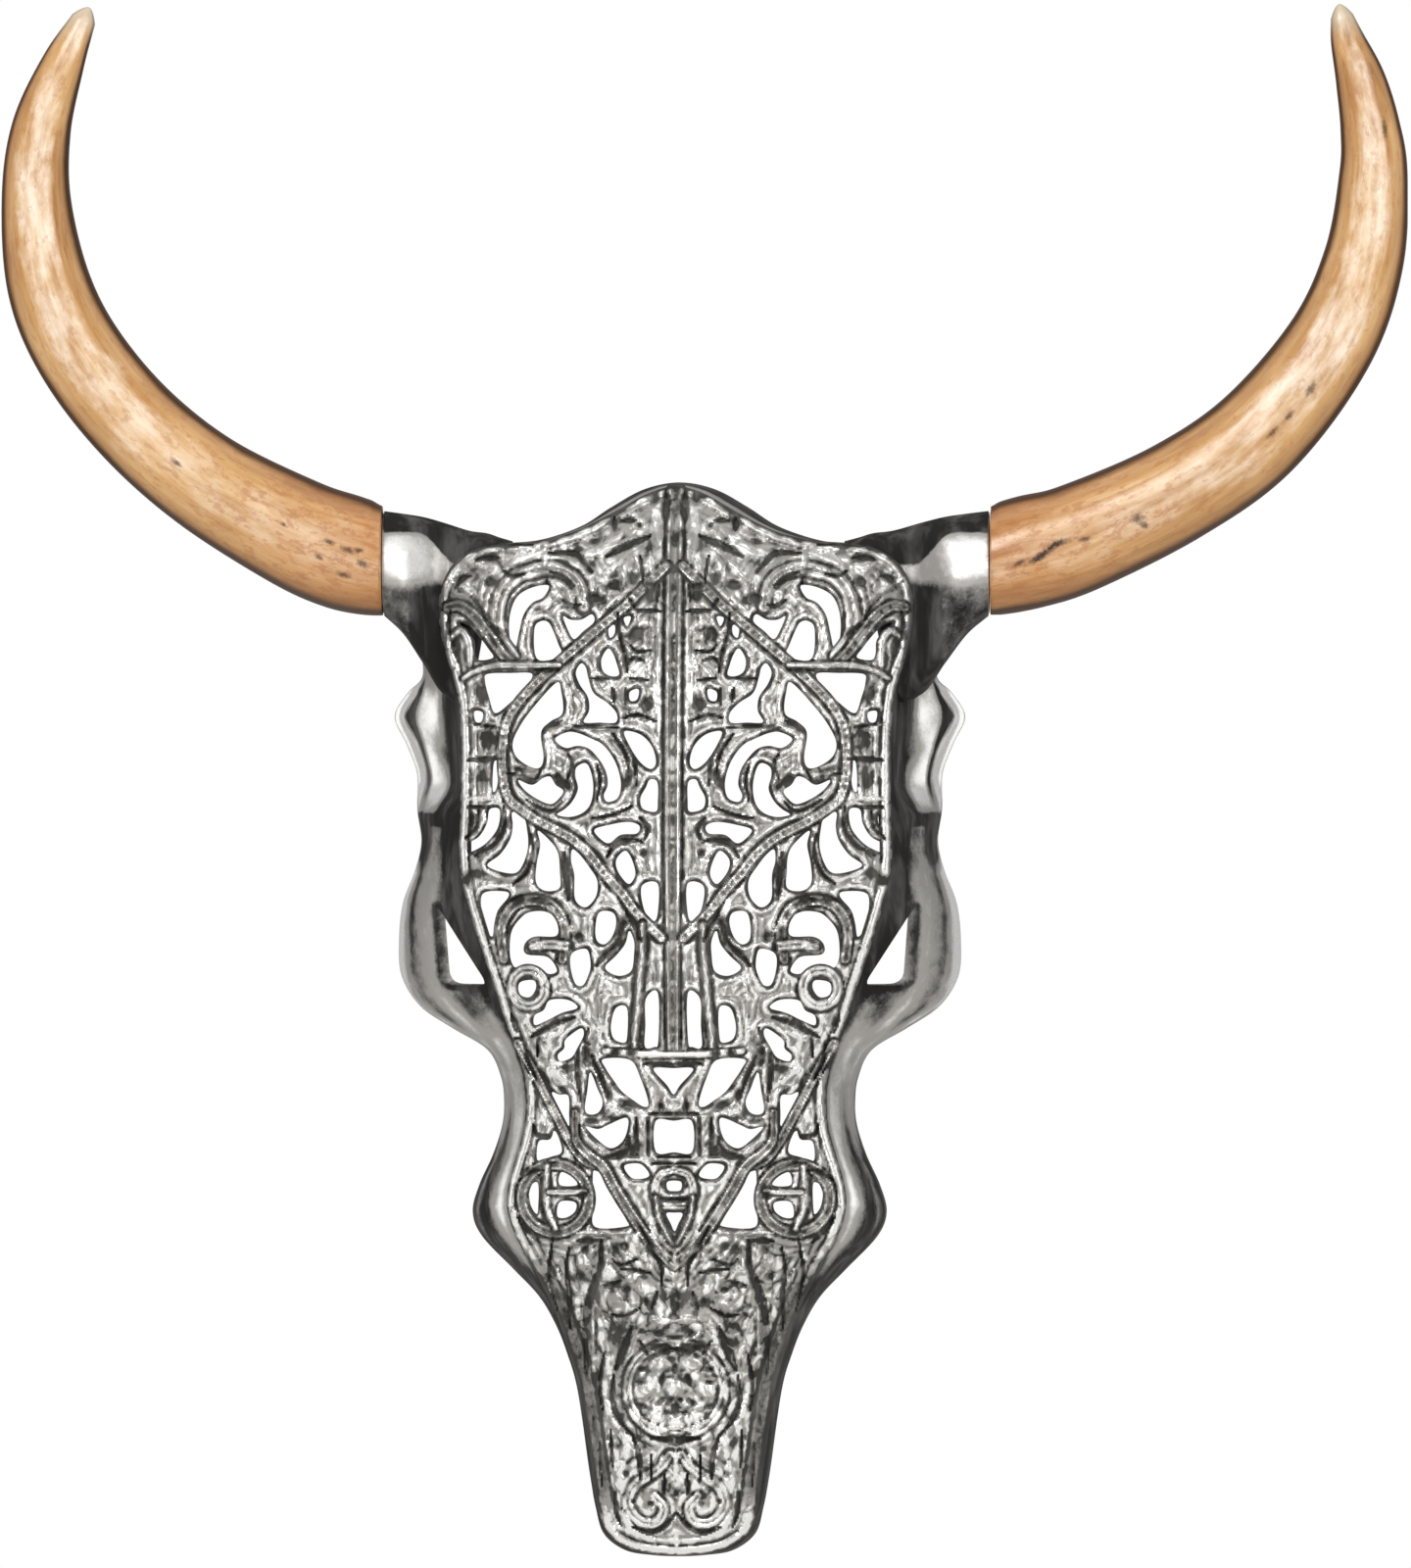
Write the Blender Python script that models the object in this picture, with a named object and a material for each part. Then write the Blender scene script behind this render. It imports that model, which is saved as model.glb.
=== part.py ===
"""Decorative bull skull: an openwork cast aluminium skull with two turned wooden horns, hung on a wall.

The skull hangs on its keyhole plate. The origin is the hanging point on the wall plane: the wall is y = 0,
the face looks along -Y and +Z is up. Shapes are worked out in millimetres and turned to metres once.
"""
import math

import bmesh
import bpy
import numpy as np
from mathutils.geometry import delaunay_2d_cdt

# Driving dimensions, in millimetres
MM = 0.001
GAP = 0.3
SHELL = 5.0
WALL = 4.0
BORDER_WIDTH = 7.0
WALL_TOP_DROP = 1.2
WALL_TOP_INSET = 0.6
CURVE_TOLERANCE = 0.5
LONGEST_CHORD = 17.0
STRAIGHT_TOLERANCE = 0.22
SMALLEST_HOLE = 8.0
SMALLEST_AREA = 0.05
SHORTEST_EDGE = 2.0
DOME_POWER = 2.2
DOME_MARGIN = 0.8
PLATE_GRID = 16.0

# Depth of the face in front of the wall, down the middle ridge and along the field's edge: (z, depth)
RIDGE = ((20, 50), (10, 60), (0, 68), (-20, 80), (-45, 90), (-80, 96), (-120, 99), (-155, 98), (-190, 91),
         (-225, 82), (-260, 73), (-300, 65), (-340, 57), (-365, 49), (-378, 40))
EDGE = ((20, 44), (0, 48), (-30, 50), (-60, 54), (-100, 60), (-140, 63), (-175, 59), (-210, 53),
        (-245, 48), (-280, 43), (-320, 38), (-355, 32), (-378, 27))

# Stations round half of the skull, from the crown to the nose end: the field's edge and the back rim, (x, z)
STATIONS = (
    ((0, 17.5), (0, 19.5)), ((9, 15.5), (13, 17)), ((20, 9.5), (25, 10.5)), ((30, 4), (35, 4)),
    ((38, 0.5), (45, 0)), ((48, -2), (55, -2.5)), ((60, -3.5), (66, -3)), ((72, -5), (78, -4)),
    ((82, -11), (90, -9)), ((87, -22), (95, -22)), ((87, -34), (96, -38)), ((84, -46), (95, -52)),
    ((81, -56), (101, -59)), ((79.5, -66), (105.5, -67)), ((79, -78), (101, -77)), ((79, -90), (97, -88)),
    ((79, -102), (97, -101)), ((79.5, -113), (95.5, -113)), ((79, -123), (98, -124)),
    ((76.5, -135), (102.5, -136)), ((73, -147), (104, -150)), ((69.5, -158), (103, -163)),
    ((66, -168), (96, -174)), ((63, -178), (84, -182)), ((59, -188), (71, -190)), ((56, -198), (66, -200)),
    ((55, -207), (64.8, -209)), ((55.5, -216), (65.5, -218)), ((58, -226), (69, -229)),
    ((61, -236), (74, -240)), ((62.5, -246), (76.5, -250)), ((60, -256), (73, -259)),
    ((55, -266), (61.5, -271)), ((49, -277), (52, -281)), ((44, -288), (46, -291)), ((40, -300), (41.5, -302)),
    ((36, -315), (37.5, -316)), ((31.5, -345), (33.2, -346)),
    ((29.5, -358), (31, -359)), ((26, -367.5), (28, -369)), ((18, -373), (20, -375)), ((9, -375), (10, -376.6)),
)
NOSE_END = ((0, -375.5), (0, -377))
TEMPLE_TOP, NOSE_TURN = -34, -370

# The wall's section: share of the way from the edge out to the rim, and share of the edge's depth
BOWED_SECTION = ((0.55, 0.68), (0.92, 0.3))
BRIM_SECTION = ((0.3, 0.42), (0.8, 0.17))
BRIM_TOP, BRIM_BOTTOM = -50, -96

# Strokes of the openwork on the left half: width, then centre line points (x, z)
MIRRORED_STROKES = {
    "crown_rung": (4, (-47.5, -5), (-47.5, -12)),
    "corner_ring": (6, (-60, -46), (-64.5, -39), (-66, -30), (-64.5, -21), (-59.5, -14.5), (-52, -11),
                    (-44, -11), (-37, -14), (-33.5, -20), (-32, -27), (-27, -34)),
    "corner_leg": (4, (-47, -22), (-52, -25.5), (-55, -31), (-55.5, -39), (-53, -48)),
    "corner_hook": (4, (-51, -24), (-45.5, -22.5), (-43.5, -28), (-43, -34), (-40, -39.5), (-34, -41)),
    "corner_tie": (5, (-43, -25), (-37, -27), (-31, -29)),
    "temple_scroll": (5, (-83.5, -28), (-79, -27.5), (-74, -31), (-69, -37), (-64, -43), (-59, -48)),
    "temple_loop": (4, (-82, -38), (-79, -34.5), (-75.5, -39), (-76, -48)),
    "brow_bar": (5, (-79, -52), (-74, -49.5), (-65, -48), (-55, -48), (-42, -48)),
    "brow_eye": (5, (-77, -62), (-73, -64), (-69.5, -59), (-73, -53)),
    "upper_rope": (6.5, (-3, -12), (-10, -19), (-18, -27), (-24, -32), (-30, -37), (-37, -43), (-43.5, -48.5),
                   (-50, -54.5), (-57, -62), (-61.5, -70), (-63, -80), (-62.5, -90), (-60.5, -97), (-56, -101),
                   (-50, -105), (-42, -109), (-36, -112.5), (-30, -118), (-25, -124.5), (-19, -131),
                   (-13, -139), (-4, -148)),
    "ladder_upper": (3.5, (-76, -70), (-62, -70)),
    "ladder_middle": (3.5, (-76, -83), (-63, -83)),
    "ladder_lower": (3.5, (-76, -98), (-61, -98)),
    "leaf_ring_upper": (5, (-4, -10), (-12, -15), (-15, -22), (-12.5, -28.5), (-4, -30)),
    "leaf_ring_middle": (5, (-4, -30), (-13, -32), (-16.5, -38), (-13, -44), (-4, -46)),
    "leaf_ring_lower": (5, (-4, -47), (-13, -50), (-16.5, -58), (-14, -67), (-4, -71)),
    "brow_leaf": (4.5, (-25, -35), (-29, -43), (-30.5, -50), (-28.5, -56.5), (-23, -61), (-14, -66)),
    "brow_leaf_vein": (4, (-21.5, -33), (-18.3, -42), (-16.5, -50)),
    "brow_leaf_tie": (3.5, (-30, -53.5), (-18, -53)),
    "rope_leaf": (4.5, (-41, -49), (-37, -54), (-35.5, -60), (-37.5, -69)),
    "eye_scroll": (5, (-46, -85), (-45.5, -79), (-47.5, -74.5), (-43, -70.5), (-36, -69), (-28, -71),
                   (-21, -76), (-17, -83), (-16, -90), (-18, -97), (-25, -102), (-33, -105), (-42, -107)),
    "eye_scroll_tie": (4, (-26, -71.5), (-16, -70), (-4, -75)),
    "eye_ring": (4.2, (-43, -88), (-38.5, -82), (-33.5, -80), (-29, -83), (-27, -90), (-28, -97), (-32, -104)),
    "eye_curl": (4.2, (-62, -87), (-57, -92), (-51.5, -98), (-45, -100.5), (-40, -98), (-38, -93), (-40.5, -88)),
    "eye_hook": (4, (-62, -86), (-54, -89.5), (-48.5, -88), (-46, -83)),
    "rib_tie": (4, (-16, -90), (-10, -88.5), (-4, -86)),
    "fan_first": (4, (-72, -99), (-73.5, -106), (-77, -111)),
    "fan_second": (5, (-61.5, -97), (-62.5, -106), (-66, -113), (-71, -117.5), (-76.5, -119)),
    "fan_third": (5, (-56, -101), (-52, -110), (-51.5, -118), (-55, -125), (-61, -128.5), (-68, -128), (-75, -125)),
    "fan_fourth": (5, (-44, -108), (-40, -117), (-39, -125), (-41, -133)),
    "cheek_ring": (5, (-63, -154), (-65, -145), (-62, -137.5), (-56, -133.5), (-48, -132.5), (-42, -134.5),
                   (-39.5, -141), (-40, -148.5), (-44, -153), (-50, -152.5)),
    "cheek_tie": (4, (-71, -147), (-67, -150), (-63, -150)),
    "cheek_curl": (4, (-47, -153), (-42, -157), (-40, -163), (-44, -168.5), (-51, -169), (-55, -164.5), (-52, -160)),
    "cheek_curl_tie": (4, (-41, -164), (-35, -167), (-29, -169)),
    "cheek_link": (4, (-40, -142), (-33, -146), (-27, -153)),
    "rib_curl": (4.2, (-27, -121), (-24, -115), (-18, -112.5), (-12, -113), (-10, -108), (-13.5, -104), (-21, -103)),
    "rib_curl_tie": (4, (-12, -113), (-9, -120), (-4, -124)),
    "rib_curl_top": (4, (-14, -104.5), (-8, -102), (-4, -99)),
    "muzzle_leg": (4.5, (-19, -131), (-19.5, -142), (-22, -149), (-27, -153), (-29, -161), (-29, -171), (-30, -183),
                   (-27, -193), (-25, -201), (-22, -208), (-14, -212)),
    "rib_stay": (4.2, (-12, -139), (-11.5, -150), (-13, -160), (-15, -172), (-15, -190)),
    "cheek_sweep": (5, (-63.5, -150), (-62, -162), (-60, -173), (-55.5, -181), (-48, -181), (-41, -177.5),
                    (-34, -175.5), (-28, -177)),
    "cheek_brace": (4, (-50, -182), (-47.5, -192), (-42, -198), (-34, -199)),
    "muzzle_lobe": (4.6, (-32, -176), (-34.5, -188), (-35, -202), (-33.5, -212), (-29.5, -219), (-24, -224.5),
                    (-17.5, -227), (-9, -227.5)),
    "lobe_lid": (4, (-35, -213.5), (-27, -212), (-20, -214), (-12, -212)),
    "muzzle_bar": (4.5, (-31, -190), (-15, -190.5), (0, -191)),
    "muzzle_vee": (4.5, (-13, -191), (-8.5, -200), (-5.5, -207), (-4, -213)),
    "square_top": (4, (-10, -213), (0, -213)),
    "square_side": (4, (-9, -212), (-9, -227)),
    "square_foot": (4, (-10, -227.5), (0, -227.5)),
    "lower_rope": (6.5, (-56, -189), (-53, -194.5), (-50, -202), (-46, -210), (-41, -218), (-36, -226), (-30, -231.5),
                   (-25, -238), (-20, -245), (-14, -253), (-7, -261), (0, -267)),
    "tear_ring": (3.8, (0, -230.5), (-5.5, -233.5), (-7.5, -240), (-5.5, -245.5), (0, -247.5)),
    "tear_leg": (3.8, (-7, -242), (-7, -250), (-2, -260)),
    "cheek_post": (4, (-51.5, -213), (-50.5, -222), (-52.5, -233)),
    "medallion_bar": (3.8, (-43, -231), (-47, -238), (-46.5, -247), (-43, -256)),
    "medallion_arm": (3.8, (-46.5, -241), (-38, -242.5), (-31, -242)),
}
MEDALLION_CENTRE = (-44, -243.5)
MEDALLION_RADIUS = 12.8
MEDALLION_WIDTH = 5
RIB = (8, (0, 10), (0, -100), (0, -191))

# Solid fields of the front, left half: the crown band and the relief plate of the nose
CROWN_FIELD = ((0, 12), (-9, 10), (-20, 5), (-30, 0), (-40, -5), (-40, -9), (-33, -14), (-23, -17), (-12, -16), (0, -12))
NOSE_FIELD = ((0, -256), (-16, -255.5), (-36, -255.5), (-44, -259), (-52, -259), (-49, -269), (-43, -280),
              (-38, -291), (-34, -304), (-31, -318), (-29, -332), (-26.5, -345), (-24.5, -357), (-20, -365),
              (-10, -369), (0, -370))

# Orbit opening in the side wall, seen from the front, left side
ORBIT_CORNERS = ((-89.5, -134), (-68.5, -166.5), (-87, -166.5))
ORBIT_ROUNDING = 5.0

# Horn sockets: distance of the horn joint from the middle plane, then the trumpet's sections
JOINT_LEFT, JOINT_RIGHT = 108.0, 115.0
SOCKET_AXIS_DEPTH = 38.0
# (share of the way from the joint to the inner end, centre z, half height, half depth)
SOCKET_SECTIONS = ((0.0, -10.5, 19.2, 19.0), (0.13, -14.5, 22.2, 20.0), (0.26, -20.5, 27, 21.0),
                   (0.39, -27, 31.5, 22.0), (0.56, -29, 30.5, 22.0), (1.0, -27, 22, 17.0))
SOCKET_INNER_X = 52.0
SOCKET_SIDES = 16
BORE_RADIUS = 12.5
TENON_LENGTH = 20.0
WEB = 4.0
HOLLOW_SECTIONS = ((0.0, -22, 21, 15.5), (1.0, -28, 18, 13))
HOLLOW_END_X = 44.0
HORN_SCREW_RADIUS = 2.2
HORN_SCREW_HEAD_RADIUS = 4.5
HORN_SCREW_HEAD_HEIGHT = 3.0
HORN_SCREW_LENGTH = 26.0

# Horns: points of the centre line (x, depth, z) and the radius there, from the joint to the tip
HORN_LEFT = ((-108, 38, -10.5, 19.4), (-122.4, 38.5, -6.5, 21.4), (-140.4, 40, 0.7, 20.5), (-172.8, 43, 19, 18.4),
             (-198.7, 46, 40.7, 17.3), (-218.9, 49, 65.9, 16.6), (-230.4, 52, 91, 15.5), (-235, 56, 122.4, 12.8),
             (-233, 60, 148.3, 11), (-225, 64, 171.7, 8), (-217, 66, 188.7, 4.6))
HORN_RIGHT = ((115, 38, -10.5, 19.2), (129.6, 38.5, -6.5, 20.9), (147.6, 40, -1.3, 20.2), (183.6, 43, 15.5, 18.9),
              (213.8, 46, 36.7, 18.3), (240, 49, 69.5, 16.6), (252.4, 52, 100.4, 14.8), (256, 56, 131.4, 12.6),
              (251.3, 60, 166, 9.3), (246.5, 63, 180.5, 6.8), (244.5, 65, 189.2, 4.6))
HORN_TIP_LENGTH = 5.5
HORN_SIDES = 15
HORN_SPACING = 19.0

# Hanger: a keyhole plate on two lugs behind the crown
LUG_X = 15.0
LUG_WIDTH = 8.0
LUG_TOP, LUG_BOTTOM = 12.0, -5.0
LUG_FRONT, LUG_BACK = 9.0, 4.1
PLATE_WIDTH, PLATE_TOP, PLATE_BOTTOM = 42.0, 8.0, -9.0
PLATE_FRONT, PLATE_BACK = 3.8, 2.3
KEYHOLE_RADIUS, KEYHOLE_Z = 4.2, -3.8
SLOT_RADIUS = 2.2
HANGER_SCREW_RADIUS = 1.5
HANGER_SCREW_HEAD_RADIUS = 3.0
HANGER_SCREW_HEAD_HEIGHT = 1.5
HANGER_SCREW_LENGTH = 5.0
SMALL_SIDES = 8

# Finishes: base colour, roughness, metallic
FINISHES = {
    "cast_aluminium": ((0.58, 0.57, 0.55, 1), 0.32, 1.0),
    "varnished_wood": ((0.62, 0.38, 0.17, 1), 0.3, 0.0),
    "zinc_plate": ((0.5, 0.5, 0.48, 1), 0.4, 1.0),
    "screw_steel": ((0.42, 0.42, 0.42, 1), 0.35, 1.0),
}


def clear_scene():
    """Removes every object that the file starts with."""
    for obj in list(bpy.data.objects):
        bpy.data.objects.remove(obj, do_unlink=True)


def finish(name):
    """Gives the named finish as a Principled material."""
    found = bpy.data.materials.get(name)
    if found:
        return found
    colour, roughness, metallic = FINISHES[name]
    material = bpy.data.materials.new(name)
    material.use_nodes = True
    shader = material.node_tree.nodes["Principled BSDF"]
    shader.inputs["Base Color"].default_value = colour
    shader.inputs["Roughness"].default_value = roughness
    shader.inputs["Metallic"].default_value = metallic
    return material


def add_object(name, vertices, faces, material=None, smooth_angle=None):
    """Makes a mesh object from millimetre vertices, with its faces turned outwards."""
    mesh = bpy.data.meshes.new(name)
    mesh.from_pydata([tuple(MM * float(v) for v in vertex) for vertex in vertices], [], faces)
    obj = bpy.data.objects.new(name, mesh)
    bpy.context.scene.collection.objects.link(obj)
    bm = bmesh.new()
    bm.from_mesh(mesh)
    bmesh.ops.recalc_face_normals(bm, faces=bm.faces)
    bm.to_mesh(mesh)
    bm.free()
    if material:
        mesh.materials.append(finish(material))
    if smooth_angle:
        mesh.shade_smooth()
        mesh.set_sharp_from_angle(angle=math.radians(smooth_angle))
    return obj


def as_guide(obj):
    """Keeps a shape out of the model: it only cuts or adds to another."""
    obj.hide_render = True
    obj.display_type = 'WIRE'
    return obj


def combine(obj, other, operation):
    """Adds an exact Boolean of another shape to an object."""
    modifier = obj.modifiers.new(f"{operation.lower()} {other.name}", 'BOOLEAN')
    modifier.operation = operation
    modifier.solver = 'EXACT'
    modifier.object = as_guide(other)


def curve_through(points, per_span=12, closed=False):
    """Gives a smooth curve through the points, a Catmull-Rom spline."""
    p = np.asarray(points, dtype=float)
    if closed:
        p = np.vstack([p[-1:], p, p[:2]])
    else:
        p = np.vstack([2 * p[0] - p[1], p, 2 * p[-1] - p[-2]])
    t = np.linspace(0, 1, per_span, endpoint=False)[:, None]
    spans = []
    for a, b, c, d in zip(p[:-3], p[1:-2], p[2:-1], p[3:]):
        spans.append(0.5 * (2 * b + (c - a) * t + (2 * a - 5 * b + 4 * c - d) * t**2
                            + (3 * b - a - 3 * c + d) * t**3))
    curve = np.vstack(spans)
    return curve if closed else np.vstack([curve, p[-2:-1]])


def thinned(curve, tolerance):
    """Drops the points that a curve doesn't need, and keeps chords under the longest one."""
    keep = {0, len(curve) - 1}
    stack = [(0, len(curve) - 1)]
    while stack:
        first, last = stack.pop()
        if last - first < 2:
            continue
        chord = curve[last] - curve[first]
        length = float(np.linalg.norm(chord))
        inner = curve[first + 1:last] - curve[first]
        if length < 1e-9:
            away = np.linalg.norm(inner, axis=1)
        else:
            away = np.abs(inner[:, 0] * chord[1] - inner[:, 1] * chord[0]) / length
        worst = int(np.argmax(away))
        middle = first + 1 + worst if away[worst] > tolerance else (first + last) // 2
        if away[worst] > tolerance or length > LONGEST_CHORD:
            keep.add(middle)
            stack += [(first, middle), (middle, last)]
    return curve[sorted(keep)]


def side_normals(line, closed=False):
    """Gives the unit normals along a flat line, on its left side."""
    if closed:
        along = np.roll(line, -1, axis=0) - np.roll(line, 1, axis=0)
    else:
        along = np.gradient(line, axis=0)
    along /= np.linalg.norm(along, axis=1)[:, None]
    return np.column_stack([-along[:, 1], along[:, 0]])


def ribbon(points, width):
    """Gives the flat quads of a stroke of the given width, with blunt round ends."""
    line = thinned(curve_through(points), CURVE_TOLERANCE)
    normal = side_normals(line)
    left = line + normal * width / 2
    right = line - normal * width / 2
    quads = [(left[k], left[k + 1], right[k + 1], right[k]) for k in range(len(line) - 1)]
    for end, inner in ((0, 1), (-1, -2)):
        out = line[end] - line[inner]
        out *= width / 2 / np.linalg.norm(out)
        quads.append((left[end], line[end] + 0.7 * (left[end] - line[end]) + 0.7 * out, line[end] + out,
                      line[end] + 0.7 * (right[end] - line[end]) + 0.7 * out, right[end]))
    return [np.array(quad) for quad in quads]


def mirrored(shapes):
    """Gives flat shapes with their mirror images across the middle plane."""
    return shapes + [shape * np.array([-1, 1]) for shape in shapes]


def turned_left(polygon):
    """Gives a flat polygon with its points counter-clockwise."""
    x, z = polygon[:, 0], polygon[:, 1]
    area = np.sum(x * np.roll(z, -1) - np.roll(x, -1) * z)
    return polygon if area > 0 else polygon[::-1]


def edge_loops(triangles):
    """Gives the closed loops of vertex numbers along the edges that only one triangle has."""
    directed = set()
    for a, b, c in triangles:
        directed |= {(a, b), (b, c), (c, a)}
    follow = {}
    for a, b in directed:
        if (b, a) not in directed:
            follow.setdefault(a, []).append(b)
    loops = []
    while follow:
        start = next(iter(follow))
        loop = [start]
        at = start
        while True:
            nexts = follow[at]
            step = nexts.pop()
            if not nexts:
                del follow[at]
            if step == start:
                break
            loop.append(step)
            at = step
        loops.append(loop)
    return loops


def loop_area(points):
    """Gives the signed area inside a flat loop."""
    x, z = points[:, 0], points[:, 1]
    return 0.5 * float(np.sum(x * np.roll(z, -1) - np.roll(x, -1) * z))


def cleaned_loop(points):
    """Joins points that stand too close and drops those on straight stretches."""
    kept = [points[0]]
    for point in points[1:]:
        if np.linalg.norm(point - kept[-1]) >= SHORTEST_EDGE:
            kept.append(point)
    if np.linalg.norm(kept[-1] - kept[0]) < SHORTEST_EDGE:
        kept.pop()
    loop = np.array(kept)
    changed = True
    while changed and len(loop) > 6:
        changed = False
        before, after = np.roll(loop, 1, axis=0), np.roll(loop, -1, axis=0)
        chord = after - before
        length = np.linalg.norm(chord, axis=1)
        offset = np.abs((loop - before)[:, 0] * chord[:, 1] - (loop - before)[:, 1] * chord[:, 0])
        straight = (offset / np.maximum(length, 1e-9) < STRAIGHT_TOLERANCE) & (length < LONGEST_CHORD)
        k = 0
        keep = np.ones(len(loop), dtype=bool)
        while k < len(loop):
            if straight[k]:
                keep[k] = False
                changed = True
                k += 1
            k += 1
        loop = loop[keep]
    return loop


def inside(loops, points):
    """Says which points are inside the loops, counting crossings of a ray."""
    result = np.zeros(len(points), dtype=bool)
    for loop in loops:
        ahead = np.roll(loop, -1, axis=0)
        for (x0, z0), (x1, z1) in zip(loop, ahead):
            crosses = (z0 > points[:, 1]) != (z1 > points[:, 1])
            at = x0 + (points[:, 1] - z0) * (x1 - x0) / (z1 - z0 if z1 != z0 else 1e-12)
            result ^= crosses & (points[:, 0] < at)
    return result


def united(polygons, extra_points):
    """Joins flat polygons into one outline and gives its points, triangles and loops."""
    points, faces = [], []
    for polygon in polygons:
        for k in range(1, len(polygon) - 1):
            corner = turned_left(polygon[[0, k, k + 1]])
            if loop_area(corner) > SMALLEST_AREA:
                faces.append([len(points), len(points) + 1, len(points) + 2])
                points += [tuple(p) for p in corner]
    flat, _, triangles, _, _, covered_by = delaunay_2d_cdt(points, [], faces, 1, 1e-4)
    flat = np.array([tuple(v) for v in flat])
    triangles = [triangle for triangle, covers in zip(triangles, covered_by) if covers]
    loops = [flat[loop] for loop in edge_loops(triangles)]
    loops = [cleaned_loop(loop) for loop in loops if abs(loop_area(loop)) > SMALLEST_HOLE]
    largest = max(loops, key=lambda loop: abs(loop_area(loop)))
    loops = [loop for loop in loops if loop is largest or loop_area(loop) * loop_area(largest) < 0]
    points, edges = [], []
    for loop in loops:
        start, count = len(points), len(loop)
        points += [tuple(p) for p in loop]
        edges += [(start + k, start + (k + 1) % count) for k in range(count)]
    grid = np.array(extra_points)
    grid = grid[inside(loops, grid)]
    rim = np.array(points)
    grid = [tuple(g) for g in grid if np.min(np.linalg.norm(rim - g, axis=1)) > PLATE_GRID / 4]
    flat, _, triangles, *_ = delaunay_2d_cdt(points + grid, edges, [], 0, 1e-4)
    flat = np.array([tuple(v) for v in flat])
    triangles = np.array(triangles)
    middle = flat[triangles].mean(axis=1)
    return flat, triangles[inside(loops, middle)]


def smooth_value(table, at):
    """Reads a table of (place, value) along a smooth curve."""
    curve = curve_through(table, 16)
    order = np.argsort(curve[:, 0])
    return np.interp(at, curve[order, 0], curve[order, 1])


def half_width(z):
    """Gives the field's half width at a height, constant above the temples and past the nose."""
    pairs = [(high, wide) for (wide, high), _ in STATIONS if NOSE_TURN < high <= TEMPLE_TOP]
    heights, widths = zip(*sorted(pairs))
    return np.interp(z, heights, widths) + DOME_MARGIN


def face_depth(x, z):
    """Gives the depth of the front surface: a dome from the ridge down to the field's edge."""
    ridge, edge = smooth_value(RIDGE, z), smooth_value(EDGE, z)
    share = np.clip(np.abs(x) / half_width(z), 0, 1.15)
    return edge + (ridge - edge) * (1 - share**DOME_POWER)


def ring_stations():
    """Gives the edge and rim points of the whole ring of stations, left side first."""
    edge = np.array([station[0] for station in STATIONS], dtype=float)
    rim = np.array([station[1] for station in STATIONS], dtype=float)
    flip = np.array([-1, 1])
    edges = np.vstack([edge * flip, [NOSE_END[0]], edge[:0:-1]])
    rims = np.vstack([rim * flip, [NOSE_END[1]], rim[:0:-1]])
    return edges, rims


def border_quads():
    """Gives the flat quads of the border band just inside the field's edge."""
    edges, _ = ring_stations()
    inner = edges + side_normals(edges, closed=True) * BORDER_WIDTH
    ahead = np.roll(edges, -1, axis=0)
    inner_ahead = np.roll(inner, -1, axis=0)
    return [np.array(quad) for quad in zip(edges, ahead, inner_ahead, inner)]


def circle(centre, radius, count):
    """Gives the points of a flat circle."""
    angle = np.linspace(0, 2 * math.pi, count, endpoint=False)
    return np.column_stack([centre[0] + radius * np.cos(angle), centre[1] + radius * np.sin(angle)])


def ring_quads(centre, radius, width, count=16):
    """Gives the flat quads of a round band."""
    outer, inner = circle(centre, radius + width / 2, count), circle(centre, radius - width / 2, count)
    return [np.array([outer[k - 1], outer[k], inner[k], inner[k - 1]]) for k in range(count)]


def build_front():
    """Makes the openwork front: the strokes joined flat, laid on the dome and given their thickness."""
    polygons = border_quads() + ribbon(RIB[1:], RIB[0])
    for width, *points in MIRRORED_STROKES.values():
        polygons += mirrored(ribbon(points, width))
    polygons += mirrored(ring_quads(MEDALLION_CENTRE, MEDALLION_RADIUS, MEDALLION_WIDTH))
    for field in (CROWN_FIELD, NOSE_FIELD):
        polygons += mirrored([np.array(field, dtype=float)])
    steps_x = np.arange(-42, 43, PLATE_GRID)
    steps_z = np.arange(-370, -250, PLATE_GRID)
    grid = [(x, z) for x in steps_x for z in steps_z]
    flat, triangles = united(polygons, grid)
    depth = face_depth(flat[:, 0], flat[:, 1])
    front = np.column_stack([flat[:, 0], -depth, flat[:, 1]])
    back = front + np.array([0, SHELL, 0])
    count = len(flat)
    faces = [tuple(t) for t in triangles] + [tuple(t[::-1] + count) for t in triangles]
    for loop in edge_loops(triangles.tolist()):
        for a, b in zip(loop, loop[1:] + loop[:1]):
            faces.append((b, a, a + count, b + count))
    return add_object("front_guide", np.vstack([front, back]), [tuple(int(i) for i in f) for f in faces])


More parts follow.
